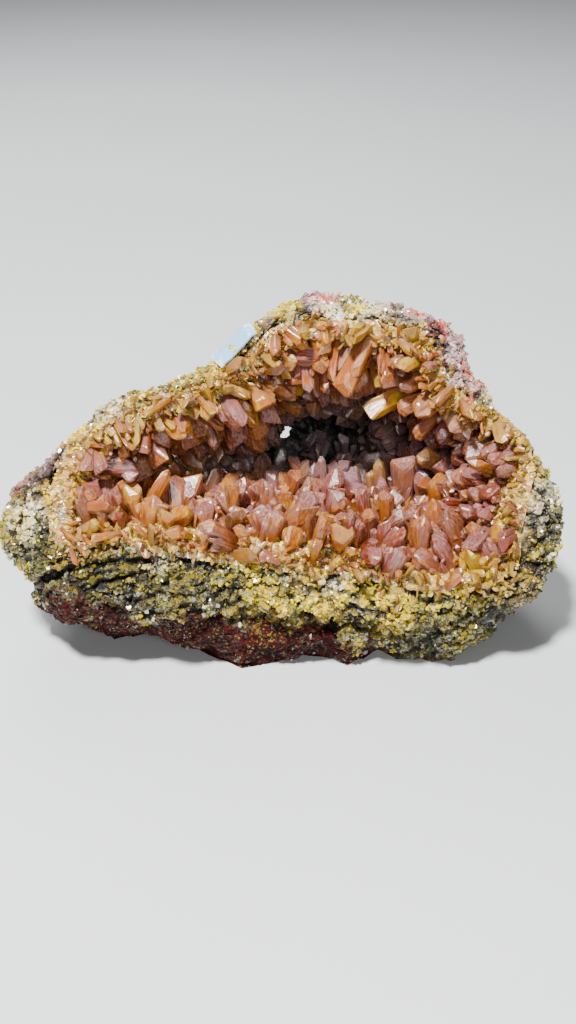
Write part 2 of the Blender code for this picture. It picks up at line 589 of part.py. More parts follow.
def label_mesh(rock):
    """A thin scrap of paper that follows the rock's slope on the left shoulder."""
    wall = BVHTree.FromBMesh(rock)
    centre, normal = wall_foot(wall, *LABEL_AT)
    along = (place(1, LABEL_LEAN, 0) - place(0, 0, 0)).normalized()
    along = (along - normal * along.dot(normal)).normalized()
    side = normal.cross(along)
    bm = bmesh.new()
    layers = []
    for lift in (LABEL_GAP, LABEL_GAP + LABEL_THICKNESS):
        grid = []
        for i in range(LABEL_CELLS[0] + 1):
            row = []
            for j in range(LABEL_CELLS[1] + 1):
                u = i / LABEL_CELLS[0] - 0.5
                v = j / LABEL_CELLS[1] - 0.5
                torn = LABEL_RAGGED * noise.noise(Vector((u, v, 0)) * LABEL_TEARS + LABEL_SEED)
                at = centre + along * (u * LABEL_LENGTH + torn) * MM
                at += side * (v * LABEL_WIDTH * (1 - LABEL_NARROWING * u * u) + torn) * MM
                hit, _, _, _ = wall.ray_cast(at + normal * ABOVE_THE_ROCK * MM, -normal)
                row.append((hit or at) + normal * lift * MM)
            grid.append(row)
        layers.append(grid)
    flatten(layers, normal)
    verts = [[[bm.verts.new(point) for point in row] for row in grid] for grid in layers]
    rows, columns = LABEL_CELLS
    for grid in verts:
        for i in range(rows):
            for j in range(columns):
                bm.faces.new((grid[i][j], grid[i + 1][j], grid[i + 1][j + 1], grid[i][j + 1]))
    lower, upper = (rim_of(grid) for grid in verts)
    bridge(bm, lower, upper)
    bmesh.ops.recalc_face_normals(bm, faces=bm.faces)
    return bm


def flatten(layers, normal):
    """Lifts each point of the paper to the highest of its neighbours, so it bridges the hollows."""
    rows, columns = LABEL_CELLS
    for grid in layers:
        heights = [[point.dot(normal) for point in row] for row in grid]
        for i in range(rows + 1):
            for j in range(columns + 1):
                near = [
                    heights[a][b]
                    for a in range(max(0, i - 1), min(rows, i + 1) + 1)
                    for b in range(max(0, j - 1), min(columns, j + 1) + 1)
                ]
                grid[i][j] = grid[i][j] + normal * (max(near) - heights[i][j])


def rim_of(grid):
    """The points round the edge of a grid, in order."""
    rows, columns = len(grid) - 1, len(grid[0]) - 1
    rim = [grid[i][0] for i in range(rows)]
    rim += [grid[rows][j] for j in range(columns)]
    rim += [grid[i][columns] for i in range(rows, 0, -1)]
    rim += [grid[0][j] for j in range(columns, 0, -1)]
    return rim


def finish(name, colour, roughness, metallic=0.0):
    """A plain Principled material."""
    material = bpy.data.materials.new(name)
    material.use_nodes = True
    shader = material.node_tree.nodes["Principled BSDF"]
    shader.inputs["Base Color"].default_value = (*colour, 1.0)
    shader.inputs["Roughness"].default_value = roughness
    shader.inputs["Metallic"].default_value = metallic
    return material


def add_object(name, bm, material=None, helper=False):
    """An object from a mesh under construction. A helper cuts others and isn't part of the model."""
    mesh = bpy.data.meshes.new(name)
    bm.to_mesh(mesh)
    obj = bpy.data.objects.new(name, mesh)
    bpy.context.scene.collection.objects.link(obj)
    if material:
        mesh.materials.append(material)
    if helper:
        obj.hide_render = True
        obj.display_type = "WIRE"
    return obj


def boolean(obj, name, operation, other=None):
    """A Boolean on obj. With no other object it joins the overlapping shapes of obj itself."""
    modifier = obj.modifiers.new(name, "BOOLEAN")
    modifier.operation = operation
    modifier.solver = "EXACT"
    modifier.object = other
    modifier.use_self = operation == "UNION"
    return modifier


def keep_largest(obj):
    """Applies the object's modifiers and drops the loose slivers that they leave."""
    bpy.context.view_layer.update()
    evaluated = obj.evaluated_get(bpy.context.evaluated_depsgraph_get())
    bm = bmesh.new()
    bm.from_mesh(evaluated.to_mesh())
    shells = []
    left = set(bm.verts)
    while left:
        shell = {left.pop()}
        edge_of_shell = list(shell)
        while edge_of_shell:
            vert = edge_of_shell.pop()
            found = {edge.other_vert(vert) for edge in vert.link_edges} - shell
            shell |= found
            edge_of_shell.extend(found)
        left -= shell
        shells.append(shell)
    shells.sort(key=len)
    for shell in shells[:-1]:
        bmesh.ops.delete(bm, geom=list(shell), context="VERTS")
    obj.modifiers.clear()
    bm.to_mesh(obj.data)
    bm.free()


def main():
    for obj in list(bpy.data.objects):
        bpy.data.objects.remove(obj, do_unlink=True)

    below = bmesh.new()
    box_bounds(below, (-FAR, -FAR, -FAR), (FAR, FAR, 0.0))
    ground = add_object("under_the_rest", below, helper=True)
    window = add_object("window_shape", window_mesh(), helper=True)

    rock_bm = rock_mesh()
    pit = add_object("pit_shape", pit_mesh(rock_bm), helper=True)
    stone = finish("granular_orpiment_rock", (0.36, 0.31, 0.10), 0.55)
    rock = add_object("matrix", rock_bm, stone)
    boolean(rock, "flat_underside", "DIFFERENCE", ground)
    boolean(rock, "pit", "DIFFERENCE", pit)
    boolean(rock, "window", "DIFFERENCE", window)

    resin = finish("orpiment_crystal", (0.62, 0.24, 0.09), 0.25)
    crust = add_object("crystal_crust", crust_mesh(rock_bm), resin)
    clearance = add_object("rock_clearance", clearance_mesh(rock_bm), helper=True)
    boolean(crust, "rock_clearance", "DIFFERENCE", clearance).use_self = True
    boolean(crust, "window", "DIFFERENCE", window)
    keep_largest(crust)

    paper = finish("pale_blue_paper", (0.42, 0.58, 0.70), 0.85)
    add_object("label_scrap", label_mesh(rock_bm), paper)


main()
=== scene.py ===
"""Looks for a piece of orpiment: half of a broken hollow in granular rock, lined with crystals.

The rock, its loose flakes, the lining of the hollow and the crystals are made here in full detail
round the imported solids, which carry the same main shapes. The scrap of paper on the slope of the
left shoulder is a finer sheet laid on the same place.

Shapes are given on the broken face, which leans back, in millimetres: across to the right, up along
the face, and depth into the rock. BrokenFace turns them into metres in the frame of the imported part.
"""

import logging
import math
import random
from dataclasses import dataclass, field
from enum import Enum

import bmesh
import bpy
import numpy as np
from mathutils import Matrix, Vector, noise
from mathutils.bvhtree import BVHTree


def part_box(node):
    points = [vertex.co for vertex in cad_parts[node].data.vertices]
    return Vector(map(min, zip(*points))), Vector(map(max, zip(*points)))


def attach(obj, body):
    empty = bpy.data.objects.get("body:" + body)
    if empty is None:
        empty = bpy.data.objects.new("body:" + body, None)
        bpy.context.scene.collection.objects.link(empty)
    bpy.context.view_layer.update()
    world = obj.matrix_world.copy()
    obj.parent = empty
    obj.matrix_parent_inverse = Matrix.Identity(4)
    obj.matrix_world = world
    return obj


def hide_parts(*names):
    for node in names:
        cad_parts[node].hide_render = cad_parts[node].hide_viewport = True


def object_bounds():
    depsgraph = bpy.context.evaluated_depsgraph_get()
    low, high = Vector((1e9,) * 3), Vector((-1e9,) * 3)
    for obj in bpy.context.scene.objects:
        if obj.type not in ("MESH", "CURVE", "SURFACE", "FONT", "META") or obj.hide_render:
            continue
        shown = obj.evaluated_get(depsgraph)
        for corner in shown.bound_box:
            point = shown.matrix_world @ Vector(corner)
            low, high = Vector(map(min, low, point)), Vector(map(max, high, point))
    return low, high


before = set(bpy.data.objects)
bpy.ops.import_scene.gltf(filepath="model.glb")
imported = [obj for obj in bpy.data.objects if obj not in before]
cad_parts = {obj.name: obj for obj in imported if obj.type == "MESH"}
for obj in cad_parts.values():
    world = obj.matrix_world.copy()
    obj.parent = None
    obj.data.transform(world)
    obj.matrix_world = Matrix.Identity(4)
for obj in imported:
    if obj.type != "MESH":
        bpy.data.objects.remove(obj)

MM = 0.001
BODY = "root"
CAD_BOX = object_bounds()
JOINED = 0.001 * MM     # points nearer than this are one
BOTTOM = 0.1 * MM       # below this height the rock is its flat foot
SPLIT = 1.4             # an edge is halved when it is this many times too long
NOISE_SEED = 7          # vectors of noise are the same in every run
log = logging.getLogger("orpiment")


# The broken face


@dataclass(frozen=True)
class BrokenFace:
    """The leaning face on which the shapes are given, and the eye in front of it."""

    tilt: float = math.radians(30.0)
    height: float = 46.0
    origin_across: float = 1.0
    origin_behind: float = 24.0
    eye_distance: float = 360.0

    def place(self, across: float, up: float, depth: float) -> Vector:
        """Turns a point on the face into metres in the part's frame.

        Args:
            across: Millimetres to the right.
            up: Millimetres up along the face.
            depth: Millimetres into the rock.

        Returns:
            The point in metres.
        """
        back = up * math.sin(self.tilt) + depth * math.cos(self.tilt) - self.origin_behind
        height = up * math.cos(self.tilt) - depth * math.sin(self.tilt) + self.height
        return Vector((across - self.origin_across, back, height)) * MM

    def read(self, point: Vector) -> Vector:
        """Gives a point in metres as across, up and depth on the face, in millimetres."""
        across = point.x / MM + self.origin_across
        back = point.y / MM + self.origin_behind
        height = point.z / MM - self.height
        up = back * math.sin(self.tilt) + height * math.cos(self.tilt)
        depth = back * math.cos(self.tilt) - height * math.sin(self.tilt)
        return Vector((across, up, depth))

    def seen(self, point: Vector) -> Vector:
        """Gives where on the face the eye sees a point, as across and up."""
        across, up, depth = self.read(point)
        reach = self.eye_distance / (self.eye_distance + depth)
        return Vector((across * reach, up * reach))

    def seen_at(self, across: float, up: float, depth: float) -> Vector:
        """Gives the point at this depth that the eye sees at (across, up)."""
        reach = (self.eye_distance + depth) / self.eye_distance
        return self.place(across * reach, up * reach, depth)

    def eye(self) -> Vector:
        """Gives the place of the eye, in metres."""
        return self.place(0.0, 0.0, -self.eye_distance)

    def sight(self, across: float, up: float) -> Vector:
        """Gives the direction from the eye to a point on the face."""
        return (self.place(across, up, 0.0) - self.eye()).normalized()

    def outward(self) -> Vector:
        """Gives the direction straight out of the face."""
        return (self.place(0, 0, -1) - self.place(0, 0, 0)).normalized()


FACE = BrokenFace()


# Nodes and colours


def linear(colour: str) -> tuple[float, float, float, float]:
    """Turns an sRGB hex colour into linear values.

    Args:
        colour: Six hex digits after a hash sign.

    Returns:
        Red, green, blue and an alpha of 1.
    """
    parts = [int(colour[i:i + 2], 16) / 255 for i in (1, 3, 5)]
    made = [p / 12.92 if p <= 0.04045 else ((p + 0.055) / 1.055) ** 2.4 for p in parts]
    return made[0], made[1], made[2], 1.0


@dataclass
class Graph:
    """The nodes of one material. A value is a socket, a number or a hex colour."""

    tree: bpy.types.NodeTree

    def add(self, kind: str, settings: dict | None = None, links: dict | None = None):
        """Adds a node, with its settings and what runs into it.

        Args:
            kind: The node's type, without the words that all shader nodes start with.
            settings: Plain values by property name, or by input name or number.
            links: Values by input name or number.

        Returns:
            The node.
        """
        node = self.tree.nodes.new("ShaderNode" + kind)
        for name, value in (settings or {}).items():
            if isinstance(name, int) or name in node.inputs:
                node.inputs[name].default_value = value
            else:
                setattr(node, name, value)
        for name, value in (links or {}).items():
            self.give(node.inputs[name], value)
        return node

    def give(self, socket, value) -> None:
        """Links a socket into an input, or sets it to a number or colour.

        Args:
            socket: The input.
            value: What it gets.
        """
        if isinstance(value, bpy.types.NodeSocket):
            self.tree.links.new(value, socket)
        else:
            socket.default_value = linear(value) if isinstance(value, str) else value

    def place(self):
        """Gives the place on the piece, in metres."""
        return self.add("TexCoord").outputs["Object"]

    def mark(self, name: str):
        """Gives a socket that reads a piece's own attribute."""
        return self.add("Attribute", {"attribute_name": name}).outputs["Fac"]

    def noise(self, size: float, place, detail: float):
        """Gives a soft noise.

        Args:
            size: The size of its lumps, in the units of the place.
            place: Where it is read.
            detail: How many finer layers it has.

        Returns:
            The noise's socket.
        """
        return self.add("TexNoise", {"Scale": 1 / size, "Detail": detail}, {"Vector": place}).outputs[0]

    def cells(self, size: float, place) -> tuple:
        """Gives cells, one for each grain.

        Args:
            size: The size of a grain, in metres.
            place: Where they are read.

        Returns:
            The distance from the grain's middle, and three random numbers for each grain.
        """
        node = self.add("TexVoronoi", {"Scale": 1 / size}, {"Vector": place})
        return node.outputs["Distance"], self.add("SeparateColor", {}, {0: node.outputs["Color"]}).outputs

    def ramp(self, stops: tuple, value, interpolation: str = "LINEAR"):
        """Gives a colour from a ramp.

        Args:
            stops: Its stops, as position and hex colour.
            value: Where the ramp is read.
            interpolation: How it runs between stops.

        Returns:
            The colour's socket.
        """
        node = self.add("ValToRGB", {}, {0: value})
        node.color_ramp.interpolation = interpolation
        elements = node.color_ramp.elements
        while len(elements) < len(stops):
            elements.new(0.5)
        for element, (position, colour) in zip(elements, stops):
            element.position = position
            element.color = linear(colour)
        return node.outputs[0]

    def mix(self, share, first, second):
        """Mixes two colours.

        Args:
            share: How much of the second colour.
            first: The first colour.
            second: The second colour.

        Returns:
            The mixed colour's socket.
        """
        return self.add("Mix", {"data_type": "RGBA"}, {0: share, 6: first, 7: second}).outputs[2]

    def work(self, operation: str, first, second):
        """Does arithmetic.

        Args:
            operation: The operation's name.
            first: The first value.
            second: The second value.

        Returns:
            The result's socket, held between 0 and 1.
        """
        settings = {"operation": operation, "use_clamp": True}
        return self.add("Math", settings, {0: first, 1: second}).outputs[0]

    def times(self, first, second):
        """Gives the product of two values, held between 0 and 1."""
        return self.work("MULTIPLY", first, second)

    def map(self, value, low: float, high: float, new_low: float, new_high: float):
        """Maps a range of a socket's values onto another range, held at its ends.

        Args:
            value: The socket.
            low: The value that becomes new_low.
            high: The value that becomes new_high.
            new_low: The result at low.
            new_high: The result at high.

        Returns:
            The result's socket.
        """
        return self.add("MapRange", {1: low, 2: high, 3: new_low, 4: new_high}, {0: value}).outputs[0]

    def bump(self, strength: float, distance: float, height, normal=None):
        """Gives a fine relief.

        Args:
            strength: How much of it shows.
            distance: How deep it is, in metres.
            height: The height's socket.
            normal: The coarser relief below it, if any.

        Returns:
            The normal's socket.
        """
        links = {"Height": height} if normal is None else {"Height": height, "Normal": normal}
        return self.add("Bump", {"Strength": strength, "Distance": distance}, links).outputs[0]


@dataclass(frozen=True)
class Finish:
    """What every finish has: a name, a typical refraction, and a shader to build on."""

    name: str = "finish"
    ior: float = 1.5

    def make(self) -> bpy.types.Material:
        """Makes the material.

        Returns:
            The material.
        """
        material = bpy.data.materials.new(self.name)
        material.use_nodes = True
        shader = material.node_tree.nodes["Principled BSDF"]
        shader.inputs["IOR"].default_value = self.ior
        graph = Graph(material.node_tree)
        for name, value in self.surface(graph).items():
            graph.give(shader.inputs[name], value)
        return material

    def surface(self, graph: Graph) -> dict:
        """Gives the shader's inputs.

        Args:
            graph: The material's nodes.

        Returns:
            Values by input name.
        """
        raise NotImplementedError(self.name)


@dataclass(frozen=True)
class GranularRock(Finish):
    """Granular sulphide rock: grains of yellow, olive and grey in a dull ground.

    The grains break along flat planes, so some are glossy and the rest are dull. The patches of
    powder, dark rock, red skin and lemon flakes are attributes painted on the mesh. The red skin on
    the underside and the dark rock at the lower right are also painted darker as shade, the pale
    powder on the top band also stands for a painted highlight, and the rock deep in the hollow and
    in the crevices is painted dark as shade.
    """

    name: str = "granular_sulphide_rock"
    ior: float = 1.5
    grain: float = 1.3 * MM
    speck: float = 0.55 * MM
    cloud: float = 9.0 * MM
    bend: float = 2.0 * MM
    bent_by: float = 0.6 * MM
    pitting: float = 0.35 * MM
    palette: tuple = (
        (0.0, "#15150d"), (0.2, "#33331c"), (0.36, "#5c5a2c"), (0.5, "#8f7c10"),
        (0.62, "#b89608"), (0.72, "#5d6153"), (0.84, "#cdb40a"), (0.94, "#dcd8c4"),
    )
    specks_show: float = 0.45
    shade: str = "#2b2a20"
    lemon: str = "#c4a400"
    tan: str = "#a8741f"
    # dark slate rock, also painted darker as shade under the overhanging lip at the lower right
    slate_and_shade: tuple = ("#1b1b0d", "#42432a")
    # red skin, painted near black as shade on the underside
    skin_and_shade: tuple = ("#1c0304", "#400807", "#4a2422")
    bloom: tuple = ("#3c202a", "#bd949c", "#d9c4be", "#c8321a")
    # pale powder, which on the top band also stands for a painted highlight
    powder: str = "#e6dcb8"
    # painted shade: the rock deep in the hollow
    deep_shade: str = "#1b1512"
    # painted shade in the low places between the chunks
    crevice_shade: str = "#0c0b07"

    def surface(self, graph: Graph) -> dict:
        """Gives the shader's inputs.

        Args:
            graph: The material's nodes.

        Returns:
            Values by input name.
        """
        place = graph.place()
        bent = graph.add("TexNoise", {"Scale": 1 / self.bend, "Detail": 2.0}, {"Vector": place})
        shifted = graph.add("Mix", {"data_type": "VECTOR", 0: self.bent_by}, {
            4: place, 5: bent.outputs["Color"]})
        grain = graph.cells(self.grain, shifted.outputs[1])[1]
        speck_reach, speck = graph.cells(self.speck, place)
        clouds = graph.noise(self.cloud, place, 4.0)
        colour = graph.mix(self.specks_show, graph.ramp(self.palette, grain[0], "CONSTANT"),
                           graph.ramp(self.palette, speck[0], "CONSTANT"))
        colour = graph.mix(graph.map(clouds, 0.42, 0.62, 0.0, 0.6), colour, self.shade)
        slate_and_shade = graph.mix(graph.map(speck[0], 0.4, 0.8, 0.0, 1.0), *self.slate_and_shade)
        skin_and_shade = graph.mix(grain[1], *self.skin_and_shade[:2])
        skin_and_shade = graph.mix(graph.map(speck[2], 0.8, 0.95, 0.0, 0.5), skin_and_shade, self.skin_and_shade[2])
        bloom = graph.mix(speck[2], *self.bloom[:2])
        bloom = graph.mix(graph.map(grain[2], 0.6, 0.9, 0.0, 0.6), bloom, self.bloom[2])
        bloom = graph.mix(graph.map(clouds, 0.49, 0.53, 0.0, 0.9), bloom, self.bloom[3])
        shares = {}
        for name, chance, spread, tone in (
                ("lemon", grain[1], (0.25, 0.5, 0.0, 1.0), self.lemon),
                ("tan", grain[2], (0.2, 0.5, 0.0, 0.9), self.tan),
                # the dark patches at the lower right also carry painted shade under the overhanging lip
                ("dark", speck[1], (0.1, 0.8, 1.0, 0.45), slate_and_shade),
                # the red patches on the underside are painted near black as shade
                ("red", speck[0], (0.0, 0.35, 0.35, 1.0), skin_and_shade),
                ("mauve", speck[0], (0.0, 0.3, 0.4, 1.0), bloom),
                # the pale patches on the top band also carry a painted highlight
                ("pale", speck[1], (0.3, 0.6, 0.0, 1.0), self.powder)):
            shares[name] = graph.times(graph.mark(name), graph.map(chance, *spread))
            colour = graph.mix(shares[name], colour, tone)
        # painted shade deep in the hollow
        colour = graph.mix(graph.mark("deep_shade"), colour, self.deep_shade)
        # painted shade in the low places between the chunks
        colour = graph.mix(graph.times(graph.mark("low"), 0.95), colour, self.crevice_shade)
        dull = graph.work("MAXIMUM", graph.map(grain[1], 0.0, 1.0, 0.35, 0.85), shares["red"])
        fine = graph.bump(0.5, 0.1 * MM, graph.noise(self.pitting, place, 3.0))
        return {
            "Base Color": colour,
            "Specular IOR Level": graph.map(shares["red"], 0.0, 1.0, 0.5, 0.12),
            "Roughness": graph.times(dull, 0.85),
            "Normal": graph.bump(0.8, 0.25 * MM, speck_reach, fine),
        }


@dataclass(frozen=True)
class MineralFlake(Finish):
    """Cleaved flakes of sulphide: flat, glossy plates that flash lemon, gold, olive or silver."""

    name: str = "cleaved_sulphide_flake"
    ior: float = 2.4
    mottle: float = 0.8 * MM
    palette: tuple = (
        (0.0, "#23240f"), (0.12, "#4f5228"), (0.24, "#867a0e"), (0.36, "#bc9c04"),
        (0.50, "#dcbc00"), (0.62, "#e6d430"), (0.72, "#f0ead0"), (0.80, "#9a9a88"), (0.90, "#4f5348"),
    )
    soiled: str = "#8f7a1e"
    # flakes take on the patches under them: in the dark and red patches they are painted darker as shade
    # too, and in the pale ones paler as a painted highlight
    patches: tuple = (
        ("dark", 0.8, "#302f18"), ("red", 0.97, "#2a0a08"), ("mauve", 0.8, "#a0727a"),
        ("pale", 0.62, "#f1ead6"), ("tan", 0.6, "#bd9438"),
    )

    def surface(self, graph: Graph) -> dict:
        """Gives the shader's inputs.

        Args:
            graph: The material's nodes.

        Returns:
            Values by input name.
        """
        mottle = graph.noise(self.mottle, graph.place(), 3.0)
        colour = graph.ramp(self.palette, graph.mark("tint"), "CONSTANT")
        colour = graph.mix(graph.map(mottle, 0.4, 0.7, 0.0, 0.35), colour, self.soiled)
        for name, strength, tone in self.patches:
            colour = graph.mix(graph.times(graph.mark(name), strength), colour, tone)
        return {
            "Base Color": colour,
            "Specular Tint": graph.mix(0.55, colour, "#ffffff"),
            "Roughness": graph.map(mottle, 0.3, 0.7, 0.08, 0.34),
        }


@dataclass(frozen=True)
class ResinousCrystal(Finish):
    """Resinous orpiment and realgar crystals: amber to salmon, translucent, frosted at the tips.

    The patterns are read from the place in each crystal, in millimetres, so they run along it.
    The feet and the facets that face down are painted darker as shade, the facets that face up
    paler as painted light, and the smoky grey deeper in is partly the crystals' own tint and partly
    painted shade.
    """

    name: str = "resinous_crystal"
    ior: float = 1.65
    palette: tuple = (
        (0.0, "#cfae08"), (0.1, "#c88c08"), (0.26, "#bf6c06"), (0.42, "#b25f10"),
        (0.56, "#a05a30"), (0.68, "#8e5048"), (0.82, "#9a3c06"), (1.0, "#742606"),
    )
    # painted shade: the crystals are darker towards their feet
    foot: str = "#7e3a0c"
    dusk: str = "#7a3510"
    # painted shade on facets that face down
    downward_shade: str = "#8a3d0c"
    # painted light: facets that face up are paler
    upward_sheen: str = "#956f76"
    rime: tuple = ("#dcae62", "#cbaaa2")
    dust: tuple = ("#6e5a20", "#c9a228")
    # smoky grey deeper in the hollow: partly the crystals' own tint, partly painted shade
    smoke: str = "#8a7a80"
    streak: float = 1 / 1.6
    drawn_out: float = 0.14
    cloud: float = 1 / 0.35
    speck: float = 1 / 2.4
    glow: tuple = (1.0, 0.38, 0.12)

    def surface(self, graph: Graph) -> dict:
        """Gives the shader's inputs.

        Args:
            graph: The material's nodes.

        Returns:
            Values by input name.
        """
        grown = graph.add("Attribute", {"attribute_name": "grown"}).outputs["Vector"]
        long_way = graph.add("Mapping", {"Scale": (1.0, 1.0, self.drawn_out)}, {"Vector": grown})
        streaks = graph.add("TexNoise", {"Scale": 1 / self.streak, "Detail": 4.0, "Roughness": 0.6}, {
            "Vector": long_way.outputs[0]}).outputs[0]
        clouds = graph.noise(self.cloud, grown, 3.0)
        specks = graph.noise(self.speck, grown, 4.0)
        along, facet, powder = graph.mark("along"), graph.mark("facet"), graph.mark("powder")
        tint = graph.work("ADD", graph.mark("tint"), graph.map(clouds, 0.3, 0.7, -0.2, 0.2))
        frosted = graph.times(graph.map(streaks, 0.45, 0.64, 0.0, 1.0),
                              graph.map(along, 0.2, 0.9, 0.1, 0.9))
        frosted = graph.times(frosted, graph.mark("frost"))
        rime = graph.mix(graph.map(tint, 0.2, 0.6, 0.0, 1.0), *self.rime)
        dust = graph.mix(graph.map(specks, 0.38, 0.62, 0.0, 1.0), *self.dust)
        colour = graph.ramp(self.palette, tint)
        for share, tone in (
                # painted shade at the feet
                (graph.map(along, 0.0, 0.55, 0.8, 0.0), self.foot),
                (graph.map(streaks, 0.3, 0.46, 0.35, 0.0), self.dusk),
                # painted shade on facets that face down, painted light on those that face up
                (graph.map(facet, 0.0, 0.3, 0.6, 0.0), self.downward_shade),
                (graph.map(facet, 0.4, 0.9, 0.0, 0.55), self.upward_sheen),
                (graph.times(frosted, 0.7), rime),
                (graph.times(powder, graph.map(clouds, 0.4, 0.6, 0.35, 1.0)), dust),
                # smoky grey deeper in: partly own tint, partly painted shade
                (graph.mark("smoke"), self.smoke)):
            colour = graph.mix(share, colour, tone)
        return {
            "Base Color": colour,
            "Roughness": graph.map(graph.work("MAXIMUM", frosted, powder), 0.0, 0.9, 0.2, 0.5),
            "Subsurface Weight": 0.12,
            "Subsurface Radius": self.glow,
            "Subsurface Scale": 3.0 * MM,
            "Transmission Weight": 0.4,
            "Normal": graph.bump(0.6, 0.25 * MM, streaks),
        }


@dataclass(frozen=True)
class Druse(Finish):
    """The lining between the crystals' feet: fine crystal grains, brown-orange, painted darker deeper in as
    shade.
    """

    name: str = "druse_lining"
    ior: float = 1.7
    grain: float = 1.4 * MM
    palette: tuple = (
        (0.0, "#4a200c"), (0.3, "#6e3412"), (0.55, "#8c4f1e"), (0.8, "#a47a48"), (1.0, "#b8922f"),
    )
    dust: str = "#b9832c"
    # painted shade: the lining darkened deeper in the hollow
    smoke: str = "#2a2122"

    def surface(self, graph: Graph) -> dict:
        """Gives the shader's inputs.

        Args:
            graph: The material's nodes.

        Returns:
            Values by input name.
        """
        reach, grain = graph.cells(self.grain, graph.place())
        dust = graph.times(graph.mark("powder"), graph.map(grain[2], 0.3, 0.8, 0.0, 0.8))
        colour = graph.mix(dust, graph.ramp(self.palette, grain[0]), self.dust)
        return {
            # painted shade deeper in the hollow
            "Base Color": graph.mix(graph.mark("smoke"), colour, self.smoke),
            "Roughness": graph.map(grain[1], 0.0, 1.0, 0.3, 0.7),
            "Normal": graph.bump(0.7, 0.35 * MM, reach),
        }


@dataclass(frozen=True)
class LabelPaper(Finish):
    """Thin pale blue label paper: matt, fibrous and a little soiled, white where it is torn."""

    name: str = "torn_blue_paper"
    ior: float = 1.45
    fibre: float = 0.4 * MM
    stain: float = 4.0 * MM
    blues: tuple = ("#6f9fc4", "#93bad4")
    soiled: str = "#8d9a90"
    torn: str = "#e3e8ea"

    def surface(self, graph: Graph) -> dict:
        """Gives the shader's inputs.

        Args:
            graph: The material's nodes.

        Returns:
            Values by input name.
        """
        place = graph.place()
        fibres = graph.noise(self.fibre, place, 5.0)
        stains = graph.map(graph.noise(self.stain, place, 3.0), 0.55, 0.75, 0.0, 0.5)
        colour = graph.mix(stains, graph.mix(fibres, *self.blues), self.soiled)
        return {
            "Base Color": graph.mix(graph.mark("torn"), colour, self.torn),
            "Roughness": graph.map(fibres, 0.3, 0.7, 0.75, 0.95),
            "Normal": graph.bump(0.4, 0.08 * MM, fibres),
        }


@dataclass(frozen=True)
class StudioFloor(Finish):
    """Matt pale board, a little uneven in tone."""

    name: str = "pale_board"
    ior: float = 1.45
    cloud: float = 1 / 6.0
    tones: tuple = ("#bfc1c3", "#c9cbcc")

    def surface(self, graph: Graph) -> dict:
        """Gives the shader's inputs.

        Args:
            graph: The material's nodes.

        Returns:
            Values by input name.
        """
        tone = graph.noise(self.cloud, graph.place(), 2.0)
        return {"Base Color": graph.mix(tone, *self.tones), "Roughness": 0.7}


# Making meshes


def clamped(value: float) -> float:
    """Holds a number between 0 and 1."""
    return max(0.0, min(1.0, value))


def random_vector(rng: random.Random, spread: float) -> Vector:
    """Draws a vector with each part spread about 0."""
    return Vector([rng.gauss(0, spread) for _ in range(3)])


def random_point(rng: random.Random, face: bmesh.types.BMFace) -> Vector:
    """Draws a point on a face."""
    shares = [rng.random() for _ in face.verts]
    return sum((v.co * s for v, s in zip(face.verts, shares)), Vector()) / sum(shares)


def merged_copy(node: str) -> bmesh.types.BMesh:
    """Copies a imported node's mesh, with its loose triangles joined.

    Args:
        node: The node's name.

    Returns:
        The mesh under construction.
    """
    bm = bmesh.new()
    bm.from_mesh(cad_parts[node].data)
    bmesh.ops.remove_doubles(bm, verts=bm.verts, dist=JOINED)
    bm.normal_update()
    return bm


def linked(name: str, data) -> bpy.types.Object:
    """Makes an object and puts it in the scene.

    Args:
        name: Its name.
        data: Its mesh, light or camera.

    Returns:
        The object.
    """
    made = bpy.data.objects.new(name, data)
    bpy.context.scene.collection.objects.link(made)
    return made


def mounted(mesh: bpy.types.Mesh, material: bpy.types.Material, replaces: str = "") -> None:
    """Makes a piece of a mesh, named as the mesh is, and mounts it on the part.

    Args:
        mesh: Its mesh.
        material: Its material.
        replaces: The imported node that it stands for, if any.
    """
    piece = linked(mesh.name, mesh)
    mesh.materials.append(material)
    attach(piece, BODY)
    if replaces:
        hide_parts(replaces)
    log.info("%s: %d faces", mesh.name, len(mesh.polygons))


def mesh_of(name: str, bm: bmesh.types.BMesh) -> bpy.types.Mesh:
    """Turns a mesh under construction into a finished one.

    Args:
        name: The mesh's name.
        bm: The mesh under construction, freed afterwards.

    Returns:
        The finished mesh.
    """
    bm.normal_update()
    mesh = bpy.data.meshes.new(name)
    bm.to_mesh(mesh)
    bm.free()
    return mesh


def held_in_box(point: Vector) -> Vector:
    """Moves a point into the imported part's box, if it has left it."""
    low, high = CAD_BOX
    return Vector([min(max(point[k], low[k]), high[k]) for k in range(3)])


def paint(bm: bmesh.types.BMesh, name: str, value) -> None:
    """Stores a number on each vertex.

    Args:
        bm: The mesh.
        name: The attribute's name.
        value: A function of the vertex.
    """
    layer = bm.verts.layers.float.new(name)
    for vert in bm.verts:
        vert[layer] = value(vert)


def split_long_edges(bm: bmesh.types.BMesh, longest, rounds: int = 8) -> None:
    """Splits edges until none is longer than wanted at its place.

    Args:
        bm: The mesh, of triangles.
        longest: A function of an edge that gives its greatest length, in metres.
        rounds: The most times that edges are halved.
    """
    for _ in range(rounds):
        long = [edge for edge in bm.edges if edge.calc_length() > longest(edge)]
        if not long:
            break
        bmesh.ops.subdivide_edges(bm, edges=long, cuts=1, use_grid_fill=False)
        bmesh.ops.triangulate(bm, faces=[face for face in bm.faces if len(face.verts) > 3])
    bm.normal_update()


